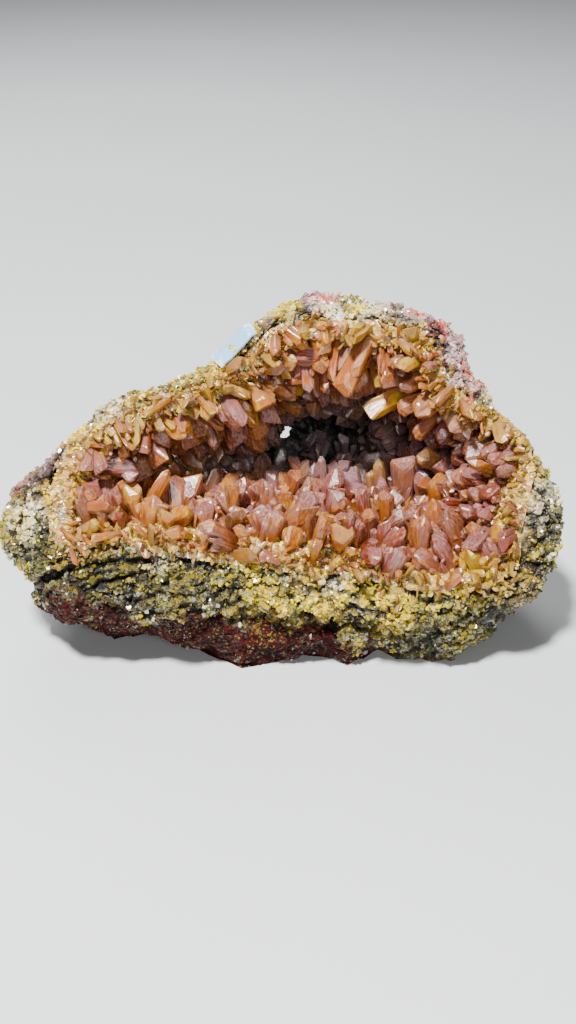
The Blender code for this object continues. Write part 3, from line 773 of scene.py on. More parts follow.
def store(mesh: bpy.types.Mesh, name: str, values: np.ndarray, domain: str = "POINT") -> None:
    """Stores numbers or vectors on a mesh's points or faces.

    Args:
        mesh: The mesh.
        name: The attribute's name.
        values: One number or vector for each point or face.
        domain: What they are stored on.
    """
    kind, part = ("FLOAT_VECTOR", "vector") if values.ndim == 2 else ("FLOAT", "value")
    layer = mesh.attributes.new(name, kind, domain)
    layer.data.foreach_set(part, values.astype(np.float32).ravel())


@dataclass
class Shape:
    """One small shape, to be repeated: its points, faces and how they stretch.

    A point is side, across, along and tip: the first two are measured in widths, along in lengths,
    and tip in widths again, so that a long crystal keeps the tip of a short one.
    """

    points: np.ndarray
    faces: list

    @classmethod
    def taken(cls, bm: bmesh.types.BMesh, body: float) -> "Shape":
        """Takes a shape from a mesh under construction, which is freed.

        Args:
            bm: The mesh.
            body: The height up to which it stretches with the length.

        Returns:
            The shape.
        """
        bm.verts.index_update()
        points = np.array([(v.co.x, v.co.y, min(v.co.z, body), max(v.co.z - body, 0.0)) for v in bm.verts])
        faces = [tuple(v.index for v in face.verts) for face in bm.faces]
        bm.free()
        return cls(points, faces)


@dataclass
class Repeated:
    """Many copies of a few shapes, gathered into one mesh.

    After as many copies as patterns, a pattern comes again. Patterns lie apart_mm from each other.
    """

    shapes: list
    marks: tuple = ("tint",)
    patterns: int = 97
    apart_mm: float = 11.0
    body_share: float = 0.8
    tip_share: float = 0.2
    upward_share: float = 0.55
    chance_share: float = 0.45
    picks: list = field(default_factory=list)

    def add(self, which: int, foot: Vector, axis: Vector, side: Vector, size: tuple, **marks: float):
        """Adds one copy.

        Args:
            which: The shape's number.
            foot: Where its foot stands.
            axis: The direction of its length.
            side: The direction of its width.
            size: Its half width, half thickness and length, in metres.
            marks: The numbers stored on it.
        """
        side = (side - axis * side.dot(axis)).normalized()
        self.picks.append((which, foot, axis, side, axis.cross(side), size, marks))

    def mesh(self, name: str, bend: float = 0.0, wobble: float = 0.0) -> bpy.types.Mesh:
        """Builds the mesh.

        Args:
            name: Its name.
            bend: How far a copy's tip bends aside, in lengths.
            wobble: How far points stray, in metres.

        Returns:
            The mesh, with its marks, the share along each copy, the place in it, and a number for
            each facet that is higher on those that look up, from which the crystals' material paints
            light on upward facets and shade on downward ones.
        """
        rng = np.random.default_rng(5)
        points, faces, along, grown = [], [], [], []
        marks = {mark: [] for mark in self.marks}
        start = 0
        for number, (which, foot, axis, side, across, size, values) in enumerate(self.picks):
            shape = self.shapes[which % len(self.shapes)]
            unit = shape.points
            width, thickness, length = size
            reach = unit[:, 2] * length + unit[:, 3] * width
            lean = bend * length * (reach / length) ** 2 * rng.uniform(-1, 1)
            place = np.array(foot)[None, :] + np.outer(unit[:, 0] * width + lean, side)
            place += np.outer(unit[:, 1] * thickness, across) + np.outer(reach, axis)
            place += rng.normal(0, wobble, place.shape) if wobble else 0.0
            points.append(place)
            faces.extend([tuple(start + k for k in face) for face in shape.faces])
            along.append(unit[:, 2] * self.body_share + np.minimum(unit[:, 3], 1.0) * self.tip_share)
            local = np.stack([unit[:, 0] * width, unit[:, 1] * thickness, reach], 1) / MM
            grown.append(local + (number % self.patterns) * self.apart_mm)
            for mark in self.marks:
                marks[mark].append(np.full(len(unit), values.get(mark, 0.0)))
            start += len(unit)
        mesh = bpy.data.meshes.new(name)
        low, high = (np.array(corner) for corner in CAD_BOX)
        mesh.from_pydata(np.clip(np.concatenate(points), low, high).tolist(), [], faces)
        for mark, values in marks.items():
            store(mesh, mark, np.concatenate(values))
        store(mesh, "along", np.concatenate(along))
        store(mesh, "grown", np.concatenate(grown))
        mesh.update()
        facing = np.empty(len(mesh.polygons) * 3, np.float32)
        mesh.polygons.foreach_get("normal", facing)
        upward = np.clip(facing.reshape(-1, 3)[:, 2], 0.0, 1.0)
        # painted light and shade: the number is higher on facets that face up and lower on those that face
        # down, with some chance mixed in
        facet = self.upward_share * upward + self.chance_share * rng.random(len(upward))
        store(mesh, "facet", facet, "FACE")
        return mesh


class Habit(Enum):
    """How a crystal is grown: how many planes end it, and how they lean, in degrees."""

    STOUT = ((3, 4), (38, 62))
    BLADE = ((2,), (38, 62))
    GRAIN = ((3, 4), (25, 45))


def crystal_shape(habit: Habit, seed: int) -> Shape:
    """Makes one crystal by cutting a six-sided prism with slanting planes.

    Args:
        habit: Its habit.
        seed: The seed of its slants.

    Returns:
        The shape, of length 1 with its tip beyond.
    """
    rng = random.Random(seed)
    tall, chamfer, foot_width = 3.2, 0.13, 0.78
    bm = bmesh.new()
    bmesh.ops.create_cone(bm, cap_ends=True, segments=6, radius1=1.0, radius2=1.0, depth=tall,
                          matrix=Matrix.Translation((0, 0, tall / 2)))
    turn = Matrix.Rotation(rng.uniform(0, math.pi / 3), 4, "Z")
    bmesh.ops.transform(bm, matrix=turn, verts=bm.verts)
    counts, leans = habit.value
    cuts = rng.choice(counts) if len(counts) > 1 else counts[0]
    first = rng.uniform(0, 2 * math.pi)
    for k in range(cuts):
        around = first + 2 * math.pi * k / cuts + rng.uniform(-0.4, 0.4)
        lean = math.radians(rng.uniform(*leans))
        normal = Vector((math.sin(lean) * math.cos(around), math.sin(lean) * math.sin(around),
                         math.cos(lean)))
        top = Vector((0, 0, 1.0 + rng.uniform(0.75, 1.25) * math.tan(lean) * 0.8))
        cut = bmesh.ops.bisect_plane(bm, geom=bm.verts[:] + bm.edges[:] + bm.faces[:], dist=1e-5,
                                     plane_co=top, plane_no=normal, clear_outer=True)
        edges = [g for g in cut["geom_cut"] if isinstance(g, bmesh.types.BMEdge)]
        if edges:
            bmesh.ops.edgeloop_fill(bm, edges=edges)
    foot = [face for face in bm.faces if face.normal.z < -0.9]
    bmesh.ops.delete(bm, geom=foot, context="FACES_ONLY")
    if habit is not Habit.GRAIN:
        sharp = [edge for edge in bm.edges if len(edge.link_faces) == 2]
        bmesh.ops.bevel(bm, geom=sharp, offset=chamfer, segments=1, profile=0.5, affect="EDGES",
                        material=-1)
    for vert in bm.verts:
        grow = foot_width + (1 - foot_width) * min(vert.co.z, 1.0)
        vert.co.x *= grow
        vert.co.y *= grow
    return Shape.taken(bm, 1.0)


def flake_shape(seed: int) -> Shape:
    """Makes one flake: an uneven plate with slanting edges.

    Args:
        seed: The seed of its outline.

    Returns:
        The shape, lying across its axis.
    """
    rng = random.Random(seed)
    bm = bmesh.new()
    sides = rng.choice((3, 4, 4, 5))
    bmesh.ops.create_cone(bm, cap_ends=True, segments=sides, radius1=1.0, radius2=0.75, depth=1.0)
    for vert in bm.verts:
        stretch = rng.uniform(0.6, 1.2)
        vert.co.x *= stretch
        vert.co.y *= stretch
    turn = Matrix.Rotation(rng.uniform(0, 6), 4, "Z")
    bmesh.ops.transform(bm, matrix=turn, verts=bm.verts)
    return Shape.taken(bm, 1.0)


# Patches of the rock's surface, as seen from the eye: (across, up, radius, strength). The dark patches at
# the lower right and the red ones on the underside also carry painted shade, and the pale ones on the top
# band a painted highlight.
PATCHES: dict[str, tuple] = {
    "pale": (
        (10, 50, 6, 0.9), (2, 48, 5, 0.5), (60, 0, 7, 0.6), (56, -9, 6, 0.6), (36, -13, 5, 0.9),
        (-69, -2, 5, 0.6), (31, -11, 4, 0.7), (24, 52, 5, 0.5), (-48, 26, 5, 0.5), (66, 3, 5, 0.5),
        (12, -19, 3, 0.9), (-34, -12, 4, 0.6), (40, 40, 5, 0.4), (52, 26, 5, 0.4),
    ),
    "dark": (
        (-50, -19, 13, 1.2), (-30, -21, 11, 1.0), (-62, -14, 9, 1.0), (-14, -27, 9, 0.7),
        (54, -33, 13, 1.3), (66, -21, 9, 1.1), (40, -38, 12, 1.2), (72, -6, 8, 0.6), (-72, -8, 5, 0.5),
        (68, 8, 6, 0.5), (18, -32, 8, 0.6), (-25, 33, 6, 0.35), (58, 22, 6, 0.3), (-16, -14, 6, 0.6),
        (-2, -17, 5, 0.5), (26, -18, 5, 0.5), (70, -28, 9, 0.9), (-40, -14, 6, 0.6),
    ),
    "red": (
        (-68, 13, 6, 0.75), (-74, 7, 5, 0.8), (-60, -31, 10, 1.6), (-46, -36, 11, 1.6),
        (-30, -40, 12, 1.6), (-12, -43, 13, 1.6), (4, -44, 12, 1.6), (18, -46, 11, 1.6),
        (34, -50, 10, 1.4), (-22, -36, 9, 1.6), (-8, -37, 9, 1.6), (6, -37, 8, 1.5),
        (5, 58, 4, 0.9), (26, 57, 4, 0.8),
    ),
    "mauve": (
        (44, 43, 9, 1.0), (41, 50, 8, 1.0), (48, 36, 7, 0.9), (36, 55, 7, 0.9), (8, 58, 5, 1.0),
        (26, 58, 6, 0.5), (-8, 54, 4, 0.5), (-63, 16, 6, 0.6), (-72, 10, 5, 0.5),
    ),
    "lemon": (
        (51, -17, 8, 1.6), (29, -27, 7, 0.8), (10, -23, 8, 0.5), (-10, -22, 8, 0.5), (54, 27, 7, 0.7),
        (-71, -4, 5, 0.6), (20, -20, 7, 0.7), (-34, -16, 8, 0.6), (-6, -28, 7, 0.7), (42, -26, 7, 0.6),
        (-20, 32, 8, 0.6), (-54, 17, 7, 0.6), (60, -14, 7, 0.7), (0, 55, 6, 0.6), (-58, -10, 7, 0.6),
        (48, -34, 5, 0.6), (-28, -27, 6, 0.6),
    ),
    "tan": (
        (-44, 21, 8, 0.7), (-30, 26, 8, 0.7), (-15, 31, 8, 0.7), (0, 43, 7, 0.7), (46, 27, 7, 0.6),
        (60, 13, 7, 0.9), (-55, 8, 7, 0.9), (-54, -6, 8, 0.8), (-34, -8, 7, 0.6), (8, -13, 7, 0.5),
        (58, -6, 7, 0.8), (28, 46, 7, 0.5), (60, -18, 7, 0.7), (-60, 3, 6, 0.7), (62, 4, 6, 0.6),
    ),
}

# The window through the thin end of the hollow, as seen from the eye, and how far its edge reaches
WINDOW: tuple = (-0.7, 21.2)
WINDOW_REACH = 4.5
WINDOW_DEPTH = 24.0     # mm, it is read from here on inwards

# Cracks in the lower left wall, as seen from the eye
CRACKS: tuple = (
    ((-64.6, -17.7), (-54.8, -14.5), (-45.3, -12.9), (-36.4, -12.7)),
    ((-54.8, -21.1), (-48.0, -19.0), (-40.8, -16.3)),
)

# How far a patch's edge wanders, how far past its radius it reaches, and how soft it is, in radii
FRAYED, PAST, SOFT = 0.55, 1.25, 0.55
CRACK_WIDTH = 0.8       # mm


def patch_strength(seen: Vector, name: str, wander: float) -> float:
    """Gives how strong a kind of patch is at a place.

    Args:
        seen: The place, as seen from the eye.
        name: The kind of patch.
        wander: A noise that frays its edges, about -1 to 1.

    Returns:
        A strength from 0 to 1.
    """
    most = 0.0
    for across, up, radius, strength in PATCHES[name]:
        off = math.hypot(seen.x - across, seen.y - up) / radius + FRAYED * wander
        if off < PAST:
            most = max(most, strength * min(1.0, (PAST - off) / SOFT))
    return min(most, 1.0)


def crack_depth(seen: Vector) -> float:
    """Gives how deep the cracks are at a place, from 0 to 1."""
    depth = 0.0
    for line in CRACKS:
        for start, end in zip(line, line[1:]):
            a, b = Vector(start), Vector(end)
            off = (seen - a.lerp(b, clamped((seen - a).dot(b - a) / (b - a).length_squared))).length
            depth = max(depth, math.exp(-(off / CRACK_WIDTH) ** 2))
    return depth


# The rock


# What a flake takes over from the surface below it
FLAKE_MARKS: tuple = ("dark", "red", "mauve", "pale", "tan")

# The tints of the flakes in a lemon patch
LEMON_TINTS: tuple = (0.36, 0.7)

# Turns a cell's middle into a number that looks random
HASH_WAY: tuple = (12.9898, 78.233, 37.719)
HASH_SCALE = 43758.5453


@dataclass
class FlakePile:
    """Loose flakes on a surface. Neighbours in one small patch have nearly the same colour."""

    sizes: tuple = (0.36, 0.45, 0.58, 0.72, 0.9, 1.15)
    kinds: int = 9
    patch: float = 3.4 * MM
    patch_share: float = 0.72
    own_share: float = 0.28
    lifted: float = 0.15 * MM
    tilt: float = 0.7
    seed: int = 3

    def __post_init__(self) -> None:
        self.rng = random.Random(self.seed)
        self.shapes = [flake_shape(seed) for seed in range(self.kinds)]

    def patch_tint(self, point: Vector) -> float:
        """Gives the tint of the patch that a point lies in, from 0 to 1."""
        cell = noise.voronoi(point / self.patch)[1][0]
        return (math.sin(cell.dot(Vector(HASH_WAY))) * HASH_SCALE) % 1.0

    def lay(self, name: str, faces: list, count: int, marks_of, material: bpy.types.Material) -> None:
        """Lays flakes on faces.

        Args:
            name: The piece's name.
            faces: The faces that may carry flakes.
            count: How many are tried.
            marks_of: Gives a face's marks, or None where no flake lies.
            material: Their material.
        """
        rng = self.rng
        heap = Repeated(self.shapes, ("tint",) + FLAKE_MARKS)
        for face in rng.choices(faces, weights=[face.calc_area() for face in faces], k=count):
            marks = marks_of(face, rng)
            if marks is None:
                continue
            point = random_point(rng, face)
            axis = (face.normal + random_vector(rng, self.tilt)).normalized()
            side = random_vector(rng, 1)
            wide = rng.choice(self.sizes) * MM
            size = (wide, wide * rng.uniform(0.6, 1.0), wide * rng.uniform(0.3, 0.8))
            tint = self.patch_share * self.patch_tint(point) + self.own_share * rng.random()
            marks.setdefault("tint", tint)
            heap.add(rng.randrange(self.kinds), point + axis * self.lifted, axis, side, size, **marks)
        mounted(heap.mesh(name), material)


@dataclass
class BrokenRock:
    """The rock's own surface, broken into grains, with loose flakes on it.

    Lengths are in millimetres. A chunk is its size, its height and how deep it is set off by cracks.
    """

    fine_edge: float = 0.62
    coarse_edge: float = 1.7
    hidden_edge: float = 6.0
    first_edge: float = 2.6
    smoothings: int = 3
    chunks: tuple = ((4.4, 1.6, 0.9), (2.1, 1.0, 0.35), (1.15, 0.35, 0.0))
    swell: float = 8.0
    stray: tuple = (0.9, 2.6)
    groove: float = 0.2
    ledge: float = 2.6
    ledge_slope: float = 0.28
    ledge_height: float = 1.1
    crack: float = 2.2
    sunk: float = 0.35
    fine_depth: float = 24.0
    flake_depth: float = 22.0
    deep_from: float = 22.0
    deep_over: float = 10.0
    flakes: int = 17000
    back_flakes: int = 6000
    covered: float = 1.5

    def __post_init__(self) -> None:
        self.crust = BVHTree.FromBMesh(merged_copy("crystal_crust"))

    def in_hollow(self, point: Vector) -> bool:
        """Tells whether the crystals' lining covers this point of the rock."""
        return self.crust.find_nearest(point, self.covered * MM)[0] is not None

    def wanted_edge(self, edge: bmesh.types.BMEdge) -> float:
        """Gives the greatest length of an edge: short in front, long where nothing shows."""
        first, second = edge.verts
        if (first[self.hidden] and second[self.hidden]) or max(first.co.z, second.co.z) < BOTTOM:
            return self.hidden_edge * MM
        facing = (first.normal + second.normal).dot(FACE.outward())
        fine = facing > -0.2 and FACE.read((first.co + second.co) / 2).z < self.fine_depth
        return (self.fine_edge if fine else self.coarse_edge) * SPLIT * MM

    def height(self, point: Vector) -> float:
        """Gives how far the broken surface stands above or below the plain one.

        Args:
            point: The place, in metres.

        Returns:
            The height in millimetres.
        """
        at = point / MM
        seen = FACE.seen(point)
        rise = noise.fractal(at / self.swell, 1.0, 2.0, 3)
        at += self.stray[0] * noise.noise_vector(at / self.stray[1])
        for size, tall, crack in self.chunks:
            reaches, cells = noise.voronoi(at / size)
            slope = noise.noise_vector(cells[0] * 5.17)
            off = at / size - cells[0]
            rise += tall * (off.dot(slope) * 1.6 + 0.5 * noise.noise(cells[0] * 3.3))
            rise -= crack * max(0.0, 1.0 - (reaches[1] - reaches[0]) / self.groove)
        layered = patch_strength(seen, "dark", 0.0)
        if layered > 0:
            level = (seen.y - self.ledge_slope * seen.x + 1.5 * noise.noise(at / 6.0)) / self.ledge
            rise += layered * self.ledge_height * (level - math.floor(level) - 0.5)
        rise *= 1.0 - 0.5 * patch_strength(seen, "red", 0.0)
        return rise - self.crack * crack_depth(seen) - self.sunk

    def build(self, rock: bpy.types.Material, flake: bpy.types.Material) -> None:
        """Builds the rock and its flakes.

        Args:
            rock: The material of the rock.
            flake: The material of the flakes.
        """
        bm = merged_copy("matrix")
        paint(bm, "hidden", lambda vert: float(self.in_hollow(vert.co)))
        self.hidden = bm.verts.layers.float["hidden"]
        bmesh.ops.triangulate(bm, faces=bm.faces)
        split_long_edges(bm, lambda edge: max(self.wanted_edge(edge), self.first_edge * MM))
        free = [v for v in bm.verts if v.co.z > BOTTOM and not v[self.hidden]]
        for _ in range(self.smoothings):
            bmesh.ops.smooth_vert(bm, verts=free, factor=0.5, use_axis_x=True, use_axis_y=True,
                                  use_axis_z=True)
        bm.normal_update()
        split_long_edges(bm, self.wanted_edge)
        for vert in bm.verts:
            vert.co = self.window_edge(vert.co)
        for name in PATCHES:
            paint(bm, name, lambda vert: patch_strength(
                FACE.seen(vert.co), name, noise.noise(vert.co / (4.0 * MM))))
        # painted shade: how far the rock is darkened deep in the hollow
        paint(bm, "deep_shade", lambda vert: self.deep_share(vert.co, vert.normal))
        # low marks the low places between the chunks: the rock is painted darker there as shade, and fewer
        # flakes lie there
        low = bm.verts.layers.float.new("low")
        for vert in bm.verts:
            still = vert.co.z < BOTTOM or vert[self.hidden] > 0.5
            rise = 0.0 if still else self.height(vert.co)
            vert[low] = clamped((-0.3 - rise) / 1.1)
            vert.co = held_in_box(vert.co + vert.normal * rise * MM)
        bm.normal_update()
        self.sprinkle(bm, flake)
        mounted(mesh_of("broken_rock", bm), rock, "matrix")

    @staticmethod
    def window_edge(point: Vector) -> Vector:
        """Draws the edge of the window in a little, as grains that stand round it do.

        Args:
            point: A point of the rock.

        Returns:
            The point, moved if it lies near the window.
        """
        off = FACE.seen(point) - Vector(WINDOW)
        depth = FACE.read(point).z
        if depth < WINDOW_DEPTH or off.length > WINDOW_REACH:
            return point
        share = off.length / WINDOW_REACH
        wide, tall = (0.62 + 0.38 * share), (0.42 + 0.58 * share)
        slant = 0.5 * off.x * (1.0 - share)
        return FACE.seen_at(WINDOW[0] + off.x * wide, WINDOW[1] + off.y * tall + slant, depth)

    def deep_share(self, point: Vector, normal: Vector) -> float:
        """Gives how far a point lies in the dark end of the hollow, where the rock is painted with shade,
        from 0 to 1.

        Args:
            point: The point.
            normal: The rock's normal there.

        Returns:
            The share.
        """
        if normal.dot(FACE.outward()) < 0.1:
            return 0.0
        return clamped((FACE.read(point).z - self.deep_from) / self.deep_over)

    def sprinkle(self, bm: bmesh.types.BMesh, material: bpy.types.Material) -> None:
        """Sets flakes on the rock's surface, most of them in front.

        Args:
            bm: The rock.
            material: The flakes' material.
        """
        outward = FACE.outward()
        front, back = [], []
        for face in bm.faces:
            first = face.verts[0].co
            if any(v[self.hidden] > 0.5 for v in face.verts) or face.calc_center_median().z < 1 * MM:
                continue
            if self.deep_share(first, face.normal) > 0:
                continue
            near = face.normal.dot(outward) > -0.25 and FACE.read(first).z < self.flake_depth
            (front if near else back).append(face)
        layers = {mark: bm.verts.layers.float[mark] for mark in FLAKE_MARKS}
        low, lemon = (bm.verts.layers.float[name] for name in ("low", "lemon"))

        def marks_of(face: bmesh.types.BMFace, rng: random.Random) -> dict | None:
            """Gives a flake's marks, or nothing where none lies."""
            vert = face.verts[0]
            bare = max(0.95 * vert[layers["red"]], 0.55 * vert[layers["dark"]],
                       0.5 * vert[layers["mauve"]], 1.3 * vert[low])
            if rng.random() < bare:
                return None
            marks = {mark: vert[layer] for mark, layer in layers.items()}
            if vert[lemon] > 0.4:
                marks["tint"] = rng.uniform(*LEMON_TINTS)
            return marks

        pile = FlakePile()
        pile.lay("rim_flakes", front, self.flakes // 2, marks_of, material)
        pile.lay("lip_flakes", front, self.flakes // 2, marks_of, material)
        pile.lay("back_flakes", back, self.back_flakes, marks_of, material)


# Crystals as seen from the eye: foot (across, up), tip (across, up), width
FLOOR: tuple = (
    (-6.6, 5.9, -6.5, 14.0, 5.3), (1.1, 7.9, 1.2, 12.4, 3.2), (3.4, 5.9, 3.8, 11.3, 3.7),
    (9.8, 3.5, 8.5, 14.3, 2.9), (12.5, 7.9, 13.2, 15.6, 3.4), (23.9, 2.5, 23.9, 13.1, 3.2),
    (30.3, 2.5, 29.6, 14.4, 6.6), (35.7, 1.5, 34.5, 9.1, 3.2), (39.7, 0.8, 39.7, 9.7, 5.8),
    (16.5, 1.5, 14.4, 8.6, 2.9), (20.6, -4.9, 18.9, 5.5, 3.4), (13.5, -0.2, 12.3, 5.2, 4.0),
    (7.8, -0.8, 7.8, 4.7, 4.5), (2.8, 0.8, 3.4, 5.2, 3.7), (-2.3, 0.2, -0.4, 6.6, 2.9),
    (-12.8, 1.6, -4.0, 5.3, 4.0), (-4.8, -8.5, -2.3, -0.1, 4.7), (4.1, -8.6, 3.4, 1.5, 5.3),
    (7.1, -11.6, 10.1, 1.0, 4.2), (15.9, -9.9, 16.5, -0.3, 3.2), (13.2, -7.9, 13.2, -3.9, 2.9),
    (23.9, -2.2, 23.9, 2.8, 3.4), (27.9, -1.5, 28.6, 3.9, 4.0), (28.6, -6.1, 28.6, -1.0, 3.2),
    (1.1, -10.3, 1.1, -4.2, 5.8), (23.9, -9.9, 25.6, -2.9, 3.2), (26.0, -16.9, 30.8, -10.3, 3.7),
    (34.7, -13.6, 34.4, -1.8, 4.5), (-21.7, 3.2, -21.0, 8.3, 3.2), (-16.6, 2.4, -16.6, 8.7, 4.2),
    (-11.1, 4.9, -7.4, 10.0, 4.2), (-11.1, -2.6, -5.3, 0.7, 3.2), (-11.6, -3.9, -18.3, 3.2, 3.2),
    (-14.1, -8.1, -22.5, -3.5, 4.0), (-11.1, -8.5, -12.8, -4.3, 3.7), (-7.4, -7.3, -9.0, -3.3, 2.9),
    (-27.0, -0.5, -26.6, 7.8, 6.3),
)
AMBER: tuple = (
    (35.5, 33.8, 22.2, 26.6, 4.6), (35.5, 28.5, 28.5, 27.8, 3.0), (36.5, 22.5, 33.8, 24.6, 3.0),
)
RIGHT: tuple = (
    (33.5, 21.9, 28.6, 21.9, 3.2), (34.2, 15.7, 29.9, 16.4, 4.7),
    (46.4, 16.3, 44.5, 13.4, 3.2), (50.6, 12.1, 48.0, 8.4, 6.6), (44.8, -4.2, 44.3, -0.8, 6.9),
    (49.5, -2.6, 46.9, -5.5, 4.5), (39.1, -5.0, 46.1, -10.7, 4.2), (47.9, -12.0, 50.5, -5.9, 4.7),
    (55.1, 6.1, 52.2, 3.4, 5.8), (55.6, 1.1, 52.4, -1.3, 3.2), (59.8, -6.9, 55.9, -9.5, 3.7),
    (37.4, -3.2, 37.4, 0.3, 4.5),
)
LEFT: tuple = (
    (-38.2, -3.0, -30.8, 11.3, 3.7), (-38.9, 3.5, -35.9, 9.8, 2.9), (-41.4, -1.8, -40.4, 7.2, 4.5),
    (-38.9, 18.4, -38.9, 9.1, 7.4), (-36.6, 16.1, -35.9, 9.3, 3.2), (-33.4, 20.2, -32.3, 12.8, 2.9),
    (-27.9, 23.2, -29.5, 19.5, 4.0), (-27.3, 20.7, -24.3, 17.4, 4.0), (-52.5, 17.1, -54.3, 10.6, 3.7),
    (-51.5, 17.1, -49.0, 10.6, 3.7), (-44.0, 14.9, -48.0, 8.3, 2.9), (-49.0, 10.6, -49.5, 2.3, 5.3),
    (-56.5, 5.8, -52.3, 3.8, 4.0), (-56.8, 1.1, -46.5, 1.3, 3.2), (-36.6, -1.5, -28.6, -1.8, 3.7),
)
BACK: tuple = (
    (22.2, 18.0, 22.6, 24.0, 3.2), (26.0, 14.0, 25.6, 18.7, 4.0), (8.1, 14.9, 8.4, 21.0, 2.9),
    (19.5, 24.2, 17.7, 28.2, 5.3), (14.8, 13.3, 14.9, 19.7, 3.0),
)
# Crystals that hang from the roof have the depth of their tips as a sixth number
ROOF: tuple = (
    (21.3, 46.7, 13.5, 31.2, 5.3, 3.0), (7.2, 46.4, 8.9, 36.6, 4.5, 4.0),
    (12.9, 46.0, 11.2, 35.6, 3.2, 4.0), (4.8, 38.3, 5.5, 32.6, 3.2, 8.0),
    (10.2, 37.6, 9.5, 32.2, 2.9, 9.0), (-22.7, 28.2, -16.0, 27.5, 3.4, 5.0),
    (-23.5, 24.5, -17.4, 22.5, 3.2, 9.0), (-18.4, 24.8, -12.3, 22.1, 3.2, 10.0),
    (-27.5, 21.5, -25.1, 17.4, 4.5, 11.0), (-20.4, 21.1, -19.1, 16.8, 3.7, 14.0),
    (-4.9, 28.9, -5.3, 24.0, 4.5, 14.0), (-8.3, 25.5, -7.0, 19.4, 6.3, 20.0),
    (-8.3, 20.8, -7.3, 15.8, 5.3, 26.0),
)

# What is tried between them: count, length, width, gap between feet, lean, whether by the rim
GROWTHS: tuple = (
    (5040, (7.5, 12.5), (3.2, 5.8), 3.8, 0.42, False),
    (6000, (3.0, 7.0), (1.3, 2.4), 1.5, 0.4, False),
    (1320, (5.5, 9.5), (2.2, 3.4), 3.04, 0.55, True),
    (18000, (2.5, 6.0), (0.7, 1.9), 1.125, 0.8, True),
)


@dataclass
class Crystal:
    """One crystal before it is built."""

    foot: Vector
    tip: Vector
    width: float
    normal: Vector
    tint: float
    frost: float
    # how much smoky grey it gets: partly its own tint, partly painted shade
    smoke: float
    powder: float = 0.0


